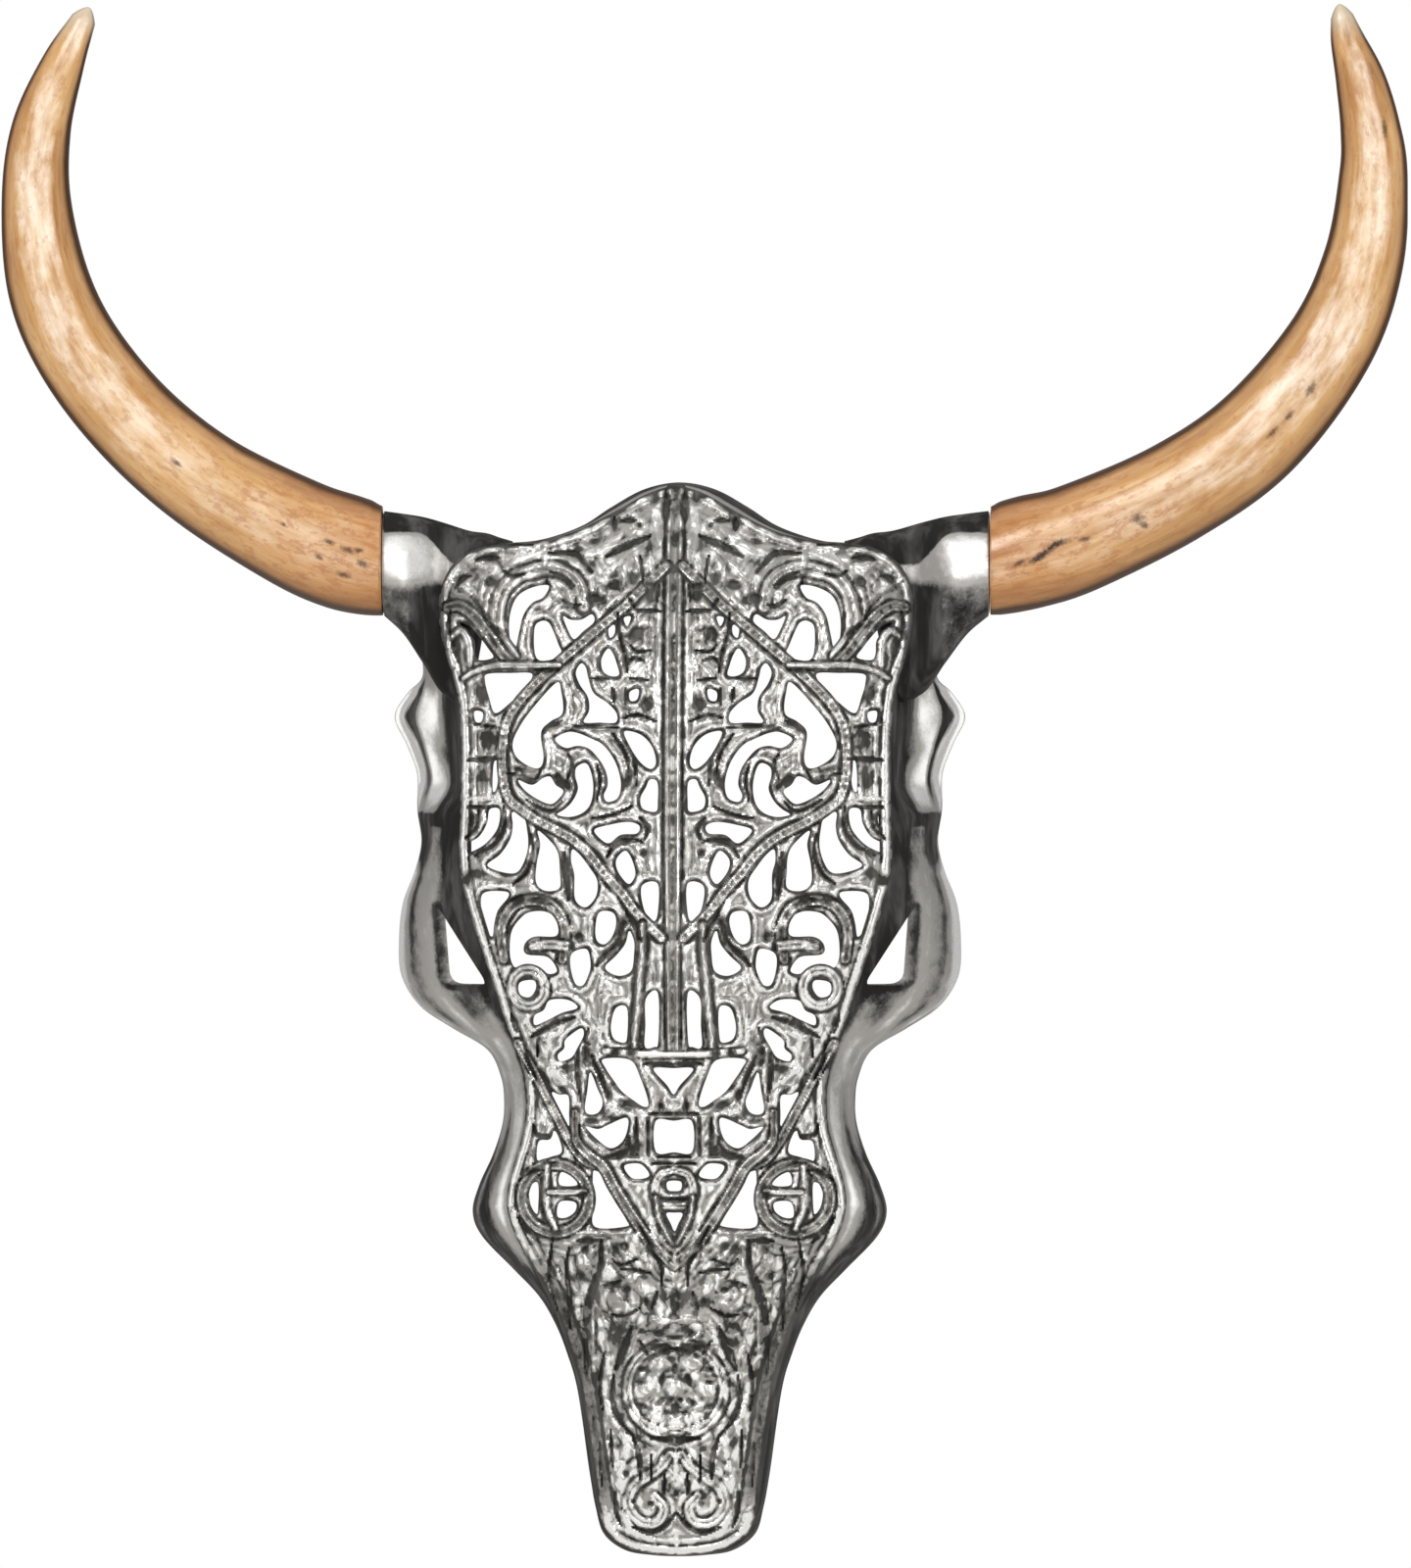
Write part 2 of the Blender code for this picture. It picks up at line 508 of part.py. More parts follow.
def build_side_wall():
    """Makes the side wall as a ring of closed sections, from under the border band to the back rim."""
    edges, rims = ring_stations()
    edge_in, rim_in = side_normals(edges, closed=True), side_normals(rims, closed=True)
    depth = face_depth(edges[:, 0], edges[:, 1])
    rows = []
    for k in range(len(edges)):
        brim = BRIM_BOTTOM < edges[k, 1] < BRIM_TOP
        section = BRIM_SECTION if brim else BOWED_SECTION
        outer = [(edges[k] + edge_in[k] * WALL_TOP_INSET, depth[k] - WALL_TOP_DROP)]
        for way, level in section:
            outer.append((edges[k] + (rims[k] - edges[k]) * way, depth[k] * level))
        outer.append((rims[k], 0.0))
        inward = np.array([edge_in[k], edge_in[k], rim_in[k], rim_in[k]]) * WALL
        inner = [(point + shift, level) for (point, level), shift in zip(outer, inward)]
        inner[0] = (edges[k] + edge_in[k] * (WALL + WALL_TOP_INSET), depth[k] - WALL_TOP_DROP)
        rows.append([(p[0], -level, p[1]) for p, level in outer + inner[::-1]])
    return add_tube("skull_casting", rows, closed=True)


def add_tube(name, rows, closed=False, material=None, smooth_angle=None):
    """Joins equal rings of points with quads, closed into a ring or capped at both ends."""
    count, sides = len(rows), len(rows[0])
    vertices = [point for row in rows for point in row]
    faces = []
    for k in range(count if closed else count - 1):
        after = (k + 1) % count
        for s in range(sides):
            beside = (s + 1) % sides
            faces.append((k * sides + s, k * sides + beside, after * sides + beside, after * sides + s))
    if not closed:
        faces.append(tuple(range(sides))[::-1])
        faces.append(tuple(range((count - 1) * sides, count * sides)))
    return add_object(name, vertices, faces, material, smooth_angle)


def ellipse_row(x, centre_z, half_height, half_depth, sides):
    """Gives an upright oval section across X at the sockets' axis depth."""
    angle = np.linspace(0, 2 * math.pi, sides, endpoint=False)
    return [(x, -SOCKET_AXIS_DEPTH + half_depth * math.cos(a), centre_z + half_height * math.sin(a)) for a in angle]


def socket_guides(side, joint):
    """Makes a horn socket's trumpet, its hollow, its bore and its screw hole."""
    rows = []
    for share, centre_z, half_height, half_depth in SOCKET_SECTIONS:
        x = side * (joint + (SOCKET_INNER_X - joint) * share)
        rows.append(ellipse_row(x, centre_z, half_height, half_depth, SOCKET_SIDES))
    trumpet = add_tube("trumpet_guide", rows)
    web_face = joint - TENON_LENGTH - GAP - WEB
    rows = []
    for share, centre_z, half_height, half_depth in HOLLOW_SECTIONS:
        x = side * (web_face + (HOLLOW_END_X - web_face) * share)
        rows.append(ellipse_row(x, centre_z, half_height, half_depth, SOCKET_SIDES))
    hollow = add_tube("hollow_guide", rows)
    centre_z = SOCKET_SECTIONS[0][1]
    bore = add_tube("bore_guide", [
        ellipse_row(side * x, centre_z, BORE_RADIUS, BORE_RADIUS, SOCKET_SIDES)
        for x in (joint + 5, joint - TENON_LENGTH - GAP)])
    hole_radius = HORN_SCREW_RADIUS + GAP
    screw_hole = add_tube("screw_hole_guide", [
        ellipse_row(side * x, centre_z, hole_radius, hole_radius, SMALL_SIDES)
        for x in (joint - TENON_LENGTH + 5, web_face - 5)])
    return trumpet, hollow, bore, screw_hole


def rounded_polygon(corners, radius, steps=3):
    """Gives a polygon whose corners are cut by short arcs."""
    points = []
    count = len(corners)
    for k in range(count):
        before, corner, after = (np.array(corners[(k + d) % count], dtype=float) for d in (-1, 0, 1))
        start = corner + (before - corner) * radius / np.linalg.norm(before - corner)
        end = corner + (after - corner) * radius / np.linalg.norm(after - corner)
        for t in np.linspace(0, 1, steps + 1):
            points.append((1 - t)**2 * start + 2 * t * (1 - t) * corner + t**2 * end)
    return points


def prism(name, outline, near, far, material=None):
    """Makes an upright outline (x, z) solid between two depths in front of the wall."""
    rows = [[(p[0], -depth, p[1]) for p in outline] for depth in (near, far)]
    return add_tube(name, rows, material=material)


def build_casting():
    """Makes the skull casting: side wall, sockets, orbit openings, openwork front and hanger lugs."""
    casting = build_side_wall()
    casting.data.materials.append(finish("cast_aluminium"))
    holes = []
    for side, joint in ((-1, JOINT_LEFT), (1, JOINT_RIGHT)):
        trumpet, hollow, bore, screw_hole = socket_guides(side, joint)
        combine(casting, trumpet, 'UNION')
        combine(casting, hollow, 'DIFFERENCE')
        holes += [bore, screw_hole]
        corners = [(x * -side, z) for x, z in ORBIT_CORNERS]
        orbit = prism("orbit_guide", rounded_polygon(corners, ORBIT_ROUNDING), -10, 90)
        combine(casting, orbit, 'DIFFERENCE')
    combine(casting, build_front(), 'UNION')
    for hole in holes:
        combine(casting, hole, 'DIFFERENCE')
    for side in (-1, 1):
        middle = side * LUG_X
        outline = [(middle + dx, z) for dx, z in ((-LUG_WIDTH / 2, LUG_BOTTOM), (LUG_WIDTH / 2, LUG_BOTTOM),
                                                  (LUG_WIDTH / 2, LUG_TOP), (-LUG_WIDTH / 2, LUG_TOP))]
        combine(casting, prism("lug_guide", outline, LUG_BACK, LUG_FRONT), 'UNION')
        hole = circle((middle, 0), HANGER_SCREW_RADIUS + GAP, SMALL_SIDES)
        combine(casting, prism("lug_hole_guide", hole, 0, LUG_FRONT + 5), 'DIFFERENCE')
    return casting


def horn_rows(stations, side, joint):
    """Gives the rings of a horn: tenon, shoulder, curved body and rounded tip."""
    path = curve_through(np.array(stations, dtype=float))
    length = np.concatenate([[0], np.cumsum(np.linalg.norm(np.diff(path[:, :3], axis=0), axis=1))])
    count = int(length[-1] / HORN_SPACING) + 1
    at = np.linspace(0, length[-1], count)
    centre = np.column_stack([np.interp(at, length, path[:, k]) for k in range(4)])
    along = np.gradient(centre[:, :3], axis=0)
    along /= np.linalg.norm(along, axis=1)[:, None]
    along[0] = (side, 0, 0)
    centre[0, 0] = side * (joint + GAP)
    angle = np.linspace(0, 2 * math.pi, HORN_SIDES, endpoint=False)

    def ring(middle, direction, radius):
        """Gives a round ring across a direction; points are (x, depth, z)."""
        forward = np.array([0.0, 1.0, 0.0]) - direction * direction[1]
        forward /= np.linalg.norm(forward)
        upward = np.cross(direction, forward)
        circle_points = np.cos(angle)[:, None] * forward + np.sin(angle)[:, None] * upward
        return middle + radius * circle_points

    across = np.array([float(side), 0, 0])
    root = centre[0, :3]
    tenon_end = root - across * (TENON_LENGTH + GAP)
    rings = [ring(tenon_end, across, BORE_RADIUS - GAP), ring(root, across, BORE_RADIUS - GAP)]
    rings += [ring(centre[k, :3], along[k], centre[k, 3]) for k in range(count)]
    last = centre[-1, 3]
    for way, shrink in ((0.55, 0.78), (0.9, 0.4)):
        rings.append(ring(centre[-1, :3] + along[-1] * HORN_TIP_LENGTH * way, along[-1], last * shrink))
    return [[(p[0], -p[1], p[2]) for p in points] for points in rings]


def build_horn(name, stations, side, joint):
    """Makes a wooden horn with a round tenon that sits in its socket's bore."""
    rows = horn_rows(stations, side, joint)
    horn = add_tube(name, rows, material="varnished_wood", smooth_angle=35)
    centre_z = SOCKET_SECTIONS[0][1]
    hole_radius = HORN_SCREW_RADIUS + GAP
    depth = joint - TENON_LENGTH + HORN_SCREW_LENGTH - WEB
    pilot = add_tube("pilot_guide", [
        ellipse_row(side * x, centre_z, hole_radius, hole_radius, SMALL_SIDES)
        for x in (joint - TENON_LENGTH - 5, depth + GAP)])
    combine(horn, pilot, 'DIFFERENCE')
    return horn


def build_screw(name, rows):
    """Makes a screw from its head and shank rings."""
    return add_tube(name, rows, material="screw_steel", smooth_angle=35)


def build_horn_screw(name, side, joint):
    """Makes the screw that draws a horn's tenon against its socket web."""
    centre_z = SOCKET_SECTIONS[0][1]
    under_head = joint - TENON_LENGTH - GAP - WEB - GAP
    end = joint - TENON_LENGTH + HORN_SCREW_LENGTH - WEB
    rings = ((under_head - HORN_SCREW_HEAD_HEIGHT, HORN_SCREW_HEAD_RADIUS * 0.7),
             (under_head - HORN_SCREW_HEAD_HEIGHT / 2, HORN_SCREW_HEAD_RADIUS),
             (under_head, HORN_SCREW_HEAD_RADIUS), (under_head, HORN_SCREW_RADIUS),
             (end - 3, HORN_SCREW_RADIUS), (end, HORN_SCREW_RADIUS * 0.3))
    rows = [ellipse_row(side * x, centre_z, radius, radius, SMALL_SIDES) for x, radius in rings]
    return build_screw(name, rows)


def build_hanger_plate():
    """Makes the keyhole plate: a blank with a round entry and a narrow slot above it."""
    half = PLATE_WIDTH / 2
    corners = ((-half, PLATE_BOTTOM), (half, PLATE_BOTTOM), (half, PLATE_TOP), (-half, PLATE_TOP))
    plate = prism("hanger_plate", rounded_polygon(corners, 3), PLATE_BACK, PLATE_FRONT, "zinc_plate")
    meeting = math.asin(SLOT_RADIUS / KEYHOLE_RADIUS)
    sweep = np.linspace(math.pi / 2 + meeting, 5 * math.pi / 2 - meeting, 14)
    keyhole = [(KEYHOLE_RADIUS * math.cos(a), KEYHOLE_Z + KEYHOLE_RADIUS * math.sin(a)) for a in sweep]
    keyhole += [(SLOT_RADIUS * math.cos(a), SLOT_RADIUS * math.sin(a)) for a in np.linspace(0, math.pi, 8)]
    combine(plate, prism("keyhole_guide", keyhole, PLATE_BACK - 2, PLATE_FRONT + 2), 'DIFFERENCE')
    for side in (-1, 1):
        hole = circle((side * LUG_X, 0), HANGER_SCREW_RADIUS + GAP, SMALL_SIDES)
        combine(plate, prism("plate_hole_guide", hole, PLATE_BACK - 2, PLATE_FRONT + 2), 'DIFFERENCE')
    return plate


def build_hanger_screw(name, side):
    """Makes a small screw that holds the plate on its lug, its head behind the plate."""
    under_head = PLATE_BACK - GAP
    rings = ((under_head - HANGER_SCREW_HEAD_HEIGHT, HANGER_SCREW_HEAD_RADIUS * 0.7),
             (under_head - HANGER_SCREW_HEAD_HEIGHT / 2, HANGER_SCREW_HEAD_RADIUS),
             (under_head, HANGER_SCREW_HEAD_RADIUS), (under_head, HANGER_SCREW_RADIUS),
             (under_head + HANGER_SCREW_LENGTH, HANGER_SCREW_RADIUS),
             (under_head + HANGER_SCREW_LENGTH + 1, HANGER_SCREW_RADIUS * 0.3))
    rows = []
    for depth, radius in rings:
        ring = circle((side * LUG_X, 0), radius, SMALL_SIDES)
        rows.append([(p[0], -depth, p[1]) for p in ring])
    return build_screw(name, rows)


def main():
    """Builds every piece of the skull."""
    clear_scene()
    build_casting()
    build_horn("horn_left", HORN_LEFT, -1, JOINT_LEFT)
    build_horn("horn_right", HORN_RIGHT, 1, JOINT_RIGHT)
    build_horn_screw("horn_screw_left", -1, JOINT_LEFT)
    build_horn_screw("horn_screw_right", 1, JOINT_RIGHT)
    build_hanger_plate()
    build_hanger_screw("hanger_screw_left", -1)
    build_hanger_screw("hanger_screw_right", 1)


main()
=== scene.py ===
"""Looks of a decorative bull skull: openwork cast aluminium with two varnished wooden horns.

Shapes are worked out in millimetres and turned to metres once, when a mesh is made. A flat place on the
face is (x, z); its depth is measured from the wall plane y = 0 towards the viewer, along -Y. The ornament is
the same on both sides. Its tables, from BANDS to SPOTS, give places on the left one, each by two numbers:
how far left of the middle and how far below z = 0.
"""

import logging
import math
from dataclasses import dataclass
from enum import Enum
from typing import Optional, Union

import bpy
import numpy as np
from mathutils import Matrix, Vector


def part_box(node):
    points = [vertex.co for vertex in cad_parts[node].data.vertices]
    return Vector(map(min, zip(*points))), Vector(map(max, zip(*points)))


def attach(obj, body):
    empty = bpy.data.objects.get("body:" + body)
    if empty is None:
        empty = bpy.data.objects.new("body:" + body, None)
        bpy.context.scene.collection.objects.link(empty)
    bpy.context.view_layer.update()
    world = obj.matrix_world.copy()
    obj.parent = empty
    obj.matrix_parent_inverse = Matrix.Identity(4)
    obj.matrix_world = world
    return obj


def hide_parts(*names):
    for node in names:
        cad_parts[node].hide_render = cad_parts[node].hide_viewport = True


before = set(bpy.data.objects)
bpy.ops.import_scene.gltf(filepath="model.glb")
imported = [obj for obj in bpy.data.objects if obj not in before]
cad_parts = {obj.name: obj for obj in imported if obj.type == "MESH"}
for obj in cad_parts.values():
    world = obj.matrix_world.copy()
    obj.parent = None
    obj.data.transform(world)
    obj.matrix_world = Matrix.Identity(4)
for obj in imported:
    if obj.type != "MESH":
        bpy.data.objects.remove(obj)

MM = 0.001
PER_METRE = 1000
Array = np.ndarray
Place = tuple[float, ...]
Span = tuple[float, float]
Line = tuple[float, float, float]
Value = Union["Wire", float, tuple[float, ...]]
BODY = "root"
CASTING = ("cast_aluminium", "skull_casting")

# Shape of the skull, as its maker's drawing gives it: (z, depth) down the ridge and along the field's edge
SHELL = 5.0
WALL = 4.0
DOME_POWER = 2.2
DOME_MARGIN = 0.8
DOME_REACH = 1.15
DEPTH_STEPS = 16
RIDGE = ((20, 50), (10, 60), (0, 68), (-20, 80), (-45, 90), (-80, 96), (-120, 99), (-155, 98), (-190, 91),
         (-225, 82), (-260, 73), (-300, 65), (-340, 57), (-365, 49), (-378, 40))
EDGE = ((20, 44), (0, 48), (-30, 50), (-60, 54), (-100, 60), (-140, 63), (-175, 59), (-210, 53),
        (-245, 48), (-280, 43), (-320, 38), (-355, 32), (-378, 27))

# Stations round half of the skull, crown to nose end: the field's edge and the back rim, (x, z)
STATIONS = (
    ((0, 17.5), (0, 19.5)), ((9, 15.5), (13, 17)), ((20, 9.5), (25, 10.5)), ((30, 4), (35, 4)),
    ((38, 0.5), (45, 0)), ((48, -2), (55, -2.5)), ((60, -3.5), (66, -3)), ((72, -5), (78, -4)),
    ((82, -11), (90, -9)), ((87, -22), (95, -22)), ((87, -34), (96, -38)), ((84, -46), (95, -52)),
    ((81, -56), (101, -59)), ((79.5, -66), (105.5, -67)), ((79, -78), (101, -77)), ((79, -90), (97, -88)),
    ((79, -102), (97, -101)), ((79.5, -113), (95.5, -113)), ((79, -123), (98, -124)),
    ((76.5, -135), (102.5, -136)), ((73, -147), (104, -150)), ((69.5, -158), (103, -163)),
    ((66, -168), (96, -174)), ((63, -178), (84, -182)), ((59, -188), (71, -190)),
    ((56, -198), (66, -200)), ((55, -207), (64.8, -209)), ((55.5, -216), (65.5, -218)),
    ((58, -226), (69, -229)), ((61, -236), (74, -240)), ((62.5, -246), (76.5, -250)),
    ((60, -256), (73, -259)), ((55, -266), (61.5, -271)), ((49, -277), (52, -281)),
    ((44, -288), (46, -291)), ((40, -300), (41.5, -302)), ((36, -315), (37.5, -316)),
    ((31.5, -345), (33.2, -346)), ((29.5, -358), (31, -359)), ((26, -367.5), (28, -369)),
    ((18, -373), (20, -375)), ((9, -375), (10, -376.6)),
)
NOSE_END = ((0, -375.5), (0, -377))
TEMPLE_TOP, NOSE_TURN = -34, -370
BOWED_SECTION = ((0.55, 0.68), (0.92, 0.3))
BRIM_SECTION = ((0.3, 0.42), (0.8, 0.17))
BRIM_TOP, BRIM_BOTTOM = -50.0, -98.0
# How bright the wall is painted, mostly painted light and shade, black by the border and along the crown and
# bright on the brims: shares of the way from border to rim, then z and tenths of brightness there
WALL_WAYS = (0, 0.12, 0.28, 0.4, 0.55, 0.7, 0.85, 0.95, 1)
WALL_LIGHT_AND_SHADE = (
    (20, 4.5, 5, 1, -3, -4, -4, -4, -4, -4), (-3, 4, 4.5, 0, -4, -4, -4, -4, -4, -4),
    (-7, -3, -2, -1, -3, -4, -4, -4, -4, -4), (-16, -4, -2, 1, 1, 0, 0, 0, -2, -4),
    (-26, -4, -4, -1, -1, 0, 0, 0, -2, -4), (-50, -4, -4, 0, 3, 5, 5, 6, 2, 0),
    (-56, -4, -4, -2, 5, 6, 9, 11, 6, 1), (-66, -4, -4, -1, 9, 7, 0, 11, 7, 1),
    (-80, -4, -4, 0, 2, 8, 10, 11, 7, 1), (-95, -4, -4, 0, 9, 10, 5, 11, 7, 1),
    (-102, -4, -4, -2, 5, 5, 4, 7, 2, 0), (-105, -4, -4, -4, -4, -4, -4, -3, -2, -2),
    (-108, -4, -2, 1.5, 2.5, -2, -3, 1, 2, 0), (-117, -4, -2, 2, 3, -1, -2, 3, 5, 2),
    (-124, -4, -2, 3, 5, 1, 8, 11, 10, 5), (-140, -4, -2, 3, 5, 0.5, 9, 11, 10, 5),
    (-155, -3, -1, 3, 4.5, 1, 9, 11, 10, 5), (-165, -1, 0, 2, 5, 2, 4, 8, 5, 2),
    (-175, -1, 3, 1, 7, 1, 7, 3, 2, 0), (-185, -1, 4, 6, 4, 6, 3, 5, 1, -1),
    (-200, -2, 5, 6, 5, 5.5, 4, 3, 0, -2), (-215, -2, 8, 6, 1, 5, 4, 2, -1, -3),
    (-228, 1, 8, 2, 0, 2, 0, 1, -1, -3), (-245, 2, 8, 2, -1, 2.5, -1, 1, -1, -3),
    (-262, 1, 5, 1, -1, 1, -1, 0, -3, -4), (-285, -3, -3, -3, -3, -3, -3, -3, -4, -4),
    (-377, -3, -3, -3, -3, -3, -3, -3, -4, -4),
)
ORBIT_CORNERS = ((-89.5, -134), (-68.5, -166.5), (-87, -166.5))
ORBIT_ROUNDING = 5.0

# Horn joints: the side's sign and the joint's distance from the middle plane
JOINTS = {"left": (-1, 108.0), "right": (1, 115.0)}
# Socket sections from the joint inwards: share of the way, middle height, half height and half depth
SOCKET_DEPTH = 38.0
SOCKET_SECTIONS = ((0.0, -10.5, 19.2, 19.0), (0.13, -14.5, 22.2, 20.0), (0.26, -20.5, 27, 21.0),
                   (0.39, -27, 31.5, 22.0), (0.56, -29, 30.5, 22.0), (0.68, -14, 14.5, 17.0),
                   (0.76, -8, 7, 13.0), (0.85, -4.5, 2, 8.0))
SOCKET_INNER_X = 52.0
SOCKET_END = 0.85
HOLLOW_INNER_X = 79.0
BORE_RADIUS = 12.5
TENON_LENGTH = 20.0
GAP = 0.3
WEB = 4.0
# The hollow behind the web, at its ends: middle height, half height and half depth
HOLLOW_SECTIONS = ((-22, 21, 15.5), (-28, 18, 13))
HOLLOW_END_X = 44.0
SCREW_RADIUS = 2.2
# Where rings stop passing under the face's border: past FACE_X the limit rises, softly, at LIMIT_RISE
FACE_X, LIMIT_X = 84.0, 88.0
LIMIT_RISE = 0.85
LIMIT_SOFTNESS, MEET_SOFTNESS = 3.0, 4.0
# Horn stations from the joint to the tip: x, depth, z and radius
HORNS = {
    "left": (
        (-108, 38, -10.5, 19.4), (-109, 38, -9.8, 20.3), (-122.4, 38.5, -6.5, 21.4),
        (-140.4, 40, 0.7, 20.5), (-172.8, 43, 19, 18.4), (-198.7, 46, 40.7, 17.3),
        (-218.9, 49, 65.9, 16.6), (-230.4, 52, 91, 15.5), (-235, 56, 122.4, 12.8), (-233, 60, 148.3, 11),
        (-225, 64, 171.7, 8), (-217, 66, 188.7, 4.6),
    ),
    "right": (
        (115, 38, -10.5, 19.2), (116, 38, -9.8, 20.1), (129.6, 38.5, -6.5, 20.9), (147.6, 40, -1.3, 20.2),
        (183.6, 43, 15.5, 18.9), (213.8, 46, 36.7, 18.3), (240, 49, 69.5, 16.6), (252.4, 52, 100.4, 14.8),
        (256, 56, 131.4, 12.6), (254.8, 58, 149, 11), (251.3, 60, 166, 9.2), (246.6, 63, 180.5, 6.4),
        (244.4, 65, 189.2, 4.2),
    ),
}


def curve_through(points: Array, per_span: int = 10, closed: bool = False) -> Array:
    """Gives a smooth curve: on each span a cubic whose slopes are half the distance of the neighbours.

    Args:
        points: Places in order, one row each.
        per_span: Steps between two points.
        closed: Whether the last point leads back to the first.

    Returns:
        The places along the curve.
    """
    p = np.asarray(points, dtype=float)
    if closed:
        p = np.vstack([p[-1:], p, p[:2]])
    else:
        p = np.vstack([2 * p[0] - p[1], p, 2 * p[-1] - p[-2]])
    t = np.linspace(0, 1, per_span, endpoint=False)[None, :, None]
    a, b, c, d = (p[k:len(p) - 3 + k, None, :] for k in range(4))
    spans = 0.5 * (2 * b + (c - a) * t + (2 * a - 5 * b + 4 * c - d) * t**2 + (3 * b - a - 3 * c + d) * t**3)
    curve = spans.reshape(-1, p.shape[1])
    return curve if closed else np.vstack([curve, p[-2:-1]])


def read_table(table: tuple[Place, ...], at: Array) -> Array:
    """Reads a table of (place, value), given from the highest place down, along its smooth curve."""
    places, values = curve_through(np.array(table), DEPTH_STEPS)[::-1].T
    return np.interp(at, places, values)


def smooth_step(value: Array, low: float, high: float) -> Array:
    """Rises from 0 at low to 1 at high as 3t^2 - 2t^3."""
    t = np.clip((value - low) / (high - low), 0, 1)
    return t * t * (3 - 2 * t)


def bell(value: Array, middle: float, spread: float) -> Array:
    """Gives exp(-((value - middle) / spread)^2), a soft bump of height 1."""
    return np.exp(-((value - middle) / spread)**2)


def laid(value: Array, line: Line) -> Array:
    """Gives a bell with its height: the line is (height, middle, spread)."""
    return line[0] * bell(value, line[1], line[2])


def round_angles(count: int) -> Array:
    """Gives equal angles once round: 2 pi k / count."""
    return np.linspace(0, 2 * math.pi, count, endpoint=False)


def closed_up(rows: Array) -> Array:
    """Repeats the first row at the end."""
    return np.vstack([rows, rows[:1]])


def half_width(z: Array) -> Array:
    """Gives the field's half width at a height, constant above the temples and past the nose."""
    pairs = sorted((high, wide) for (wide, high), _ in STATIONS if NOSE_TURN < high <= TEMPLE_TOP)
    return np.interp(z, *zip(*pairs)) + DOME_MARGIN


def face_depth(x: Array, z: Array) -> Array:
    """Gives the face's depth: edge + (ridge - edge)(1 - share^2.2), share being |x| over the half width."""
    edge, share = read_table(EDGE, z), np.clip(np.abs(x) / half_width(z), 0, DOME_REACH)
    return edge + (read_table(RIDGE, z) - edge) * (1 - share**DOME_POWER)


def outline_rings() -> tuple[Array, Array]:
    """Gives the whole rings of stations, left side first.

    Returns:
        The field's edge points and the back rim's points, (x, z).
    """
    flip = np.array([-1, 1])
    rings = []
    for half, end in zip(np.array(STATIONS, dtype=float).transpose(1, 0, 2), NOSE_END):
        rings.append(np.vstack([half * flip, [end], half[:0:-1]]))
    return rings[0], rings[1]


def ring_normals(line: Array) -> Array:
    """Gives the unit normals of a closed flat line, on its left, square to the step between neighbours."""
    along = np.roll(line, -1, axis=0) - np.roll(line, 1, axis=0)
    return np.column_stack([-along[:, 1], along[:, 0]]) / np.linalg.norm(along, axis=1)[:, None]


def near_box(points: Array, reach: float, at: Array) -> Array:
    """Says which flat places are within reach of the box round some points."""
    points = np.array(points)
    return np.all((at > points.min(axis=0) - reach) & (at < points.max(axis=0) + reach), axis=1)


def line_distance(line: Array, at: Array) -> tuple[Array, Array, Array]:
    """Finds the nearest place on a line of straight pieces for each flat place.

    Args:
        line: Points of the line, one row each.
        at: Flat places.

    Returns:
        The distance, the length travelled, and the side (1 on the left, -1 on the right).
    """
    start, step = line[:-1], np.diff(line, axis=0)
    length = np.maximum(np.linalg.norm(step, axis=1), 1e-9)
    travelled = np.concatenate([[0], np.cumsum(length)])
    away = at[:, None, :] - start[None]
    share = np.clip((away * step).sum(-1) / length**2, 0, 1)
    gap = away - share[..., None] * step
    squared = (gap**2).sum(-1)
    nearest = squared.argmin(axis=1)
    row = np.arange(len(at))
    cross = step[nearest, 0] * gap[row, nearest, 1] - step[nearest, 1] * gap[row, nearest, 0]
    place = travelled[nearest] + share[row, nearest] * length[nearest]
    return np.sqrt(squared[row, nearest]), place, np.sign(cross)


def polygon_gap(corners: Array, at: Array) -> Array:
    """Measures flat places against a closed outline; inside, a ray crosses it an odd number of times.

    Args:
        corners: Points of the outline, one row each.
        at: Flat places.

    Returns:
        The distance to the outline, below zero inside.
    """
    closed = closed_up(corners)
    distance, _, _ = line_distance(closed, at)
    (x0, z0), (x1, z1) = closed[:-1].T[:, None, :], closed[1:].T[:, None, :]
    x, z = at[:, :1], at[:, 1:]
    crosses = (z0 > z) != (z1 > z)
    meets = x0 + (z - z0) * (x1 - x0) / np.where(z1 == z0, 1e-12, z1 - z0)
    inside = (crosses & (x < meets)).sum(axis=1) % 2 == 1
    return np.where(inside, -distance, distance)


class Form(Enum):
    """Cross-sections of a cast bar."""

    ROUND = "round back"
    CRESTED = "narrow bright crest between sloping flanks"
    LIPPED = "channel between two raised lips"
    VEINED = "round back with a carved vein"
    ROPE = "twisted strands between two lips"


# Lines along a bar: height, place over the half width, and spread; a floor is the height between them
CREST_LINE, CREST_FLOOR = (0.58, 0.0, 0.45), 0.42
LIP_LINE, LIP_FLOOR = (0.85, 0.58, 0.24), 0.3
VEIN_LINE = (0.5, 0.0, 0.2)
ROPE_LIP, ROPE_CORE, ROPE_FLOOR = (0.85, 0.55, 0.24), (0.5, 0.0, 0.26), 0.35
STRAND_PITCH, STRAND_SLANT = 2.6, 1.6
# A stroke's width comes in from its ends over this share of its length, and is never less than NARROWEST
END_TAPER, NARROWEST = 0.35, 0.05


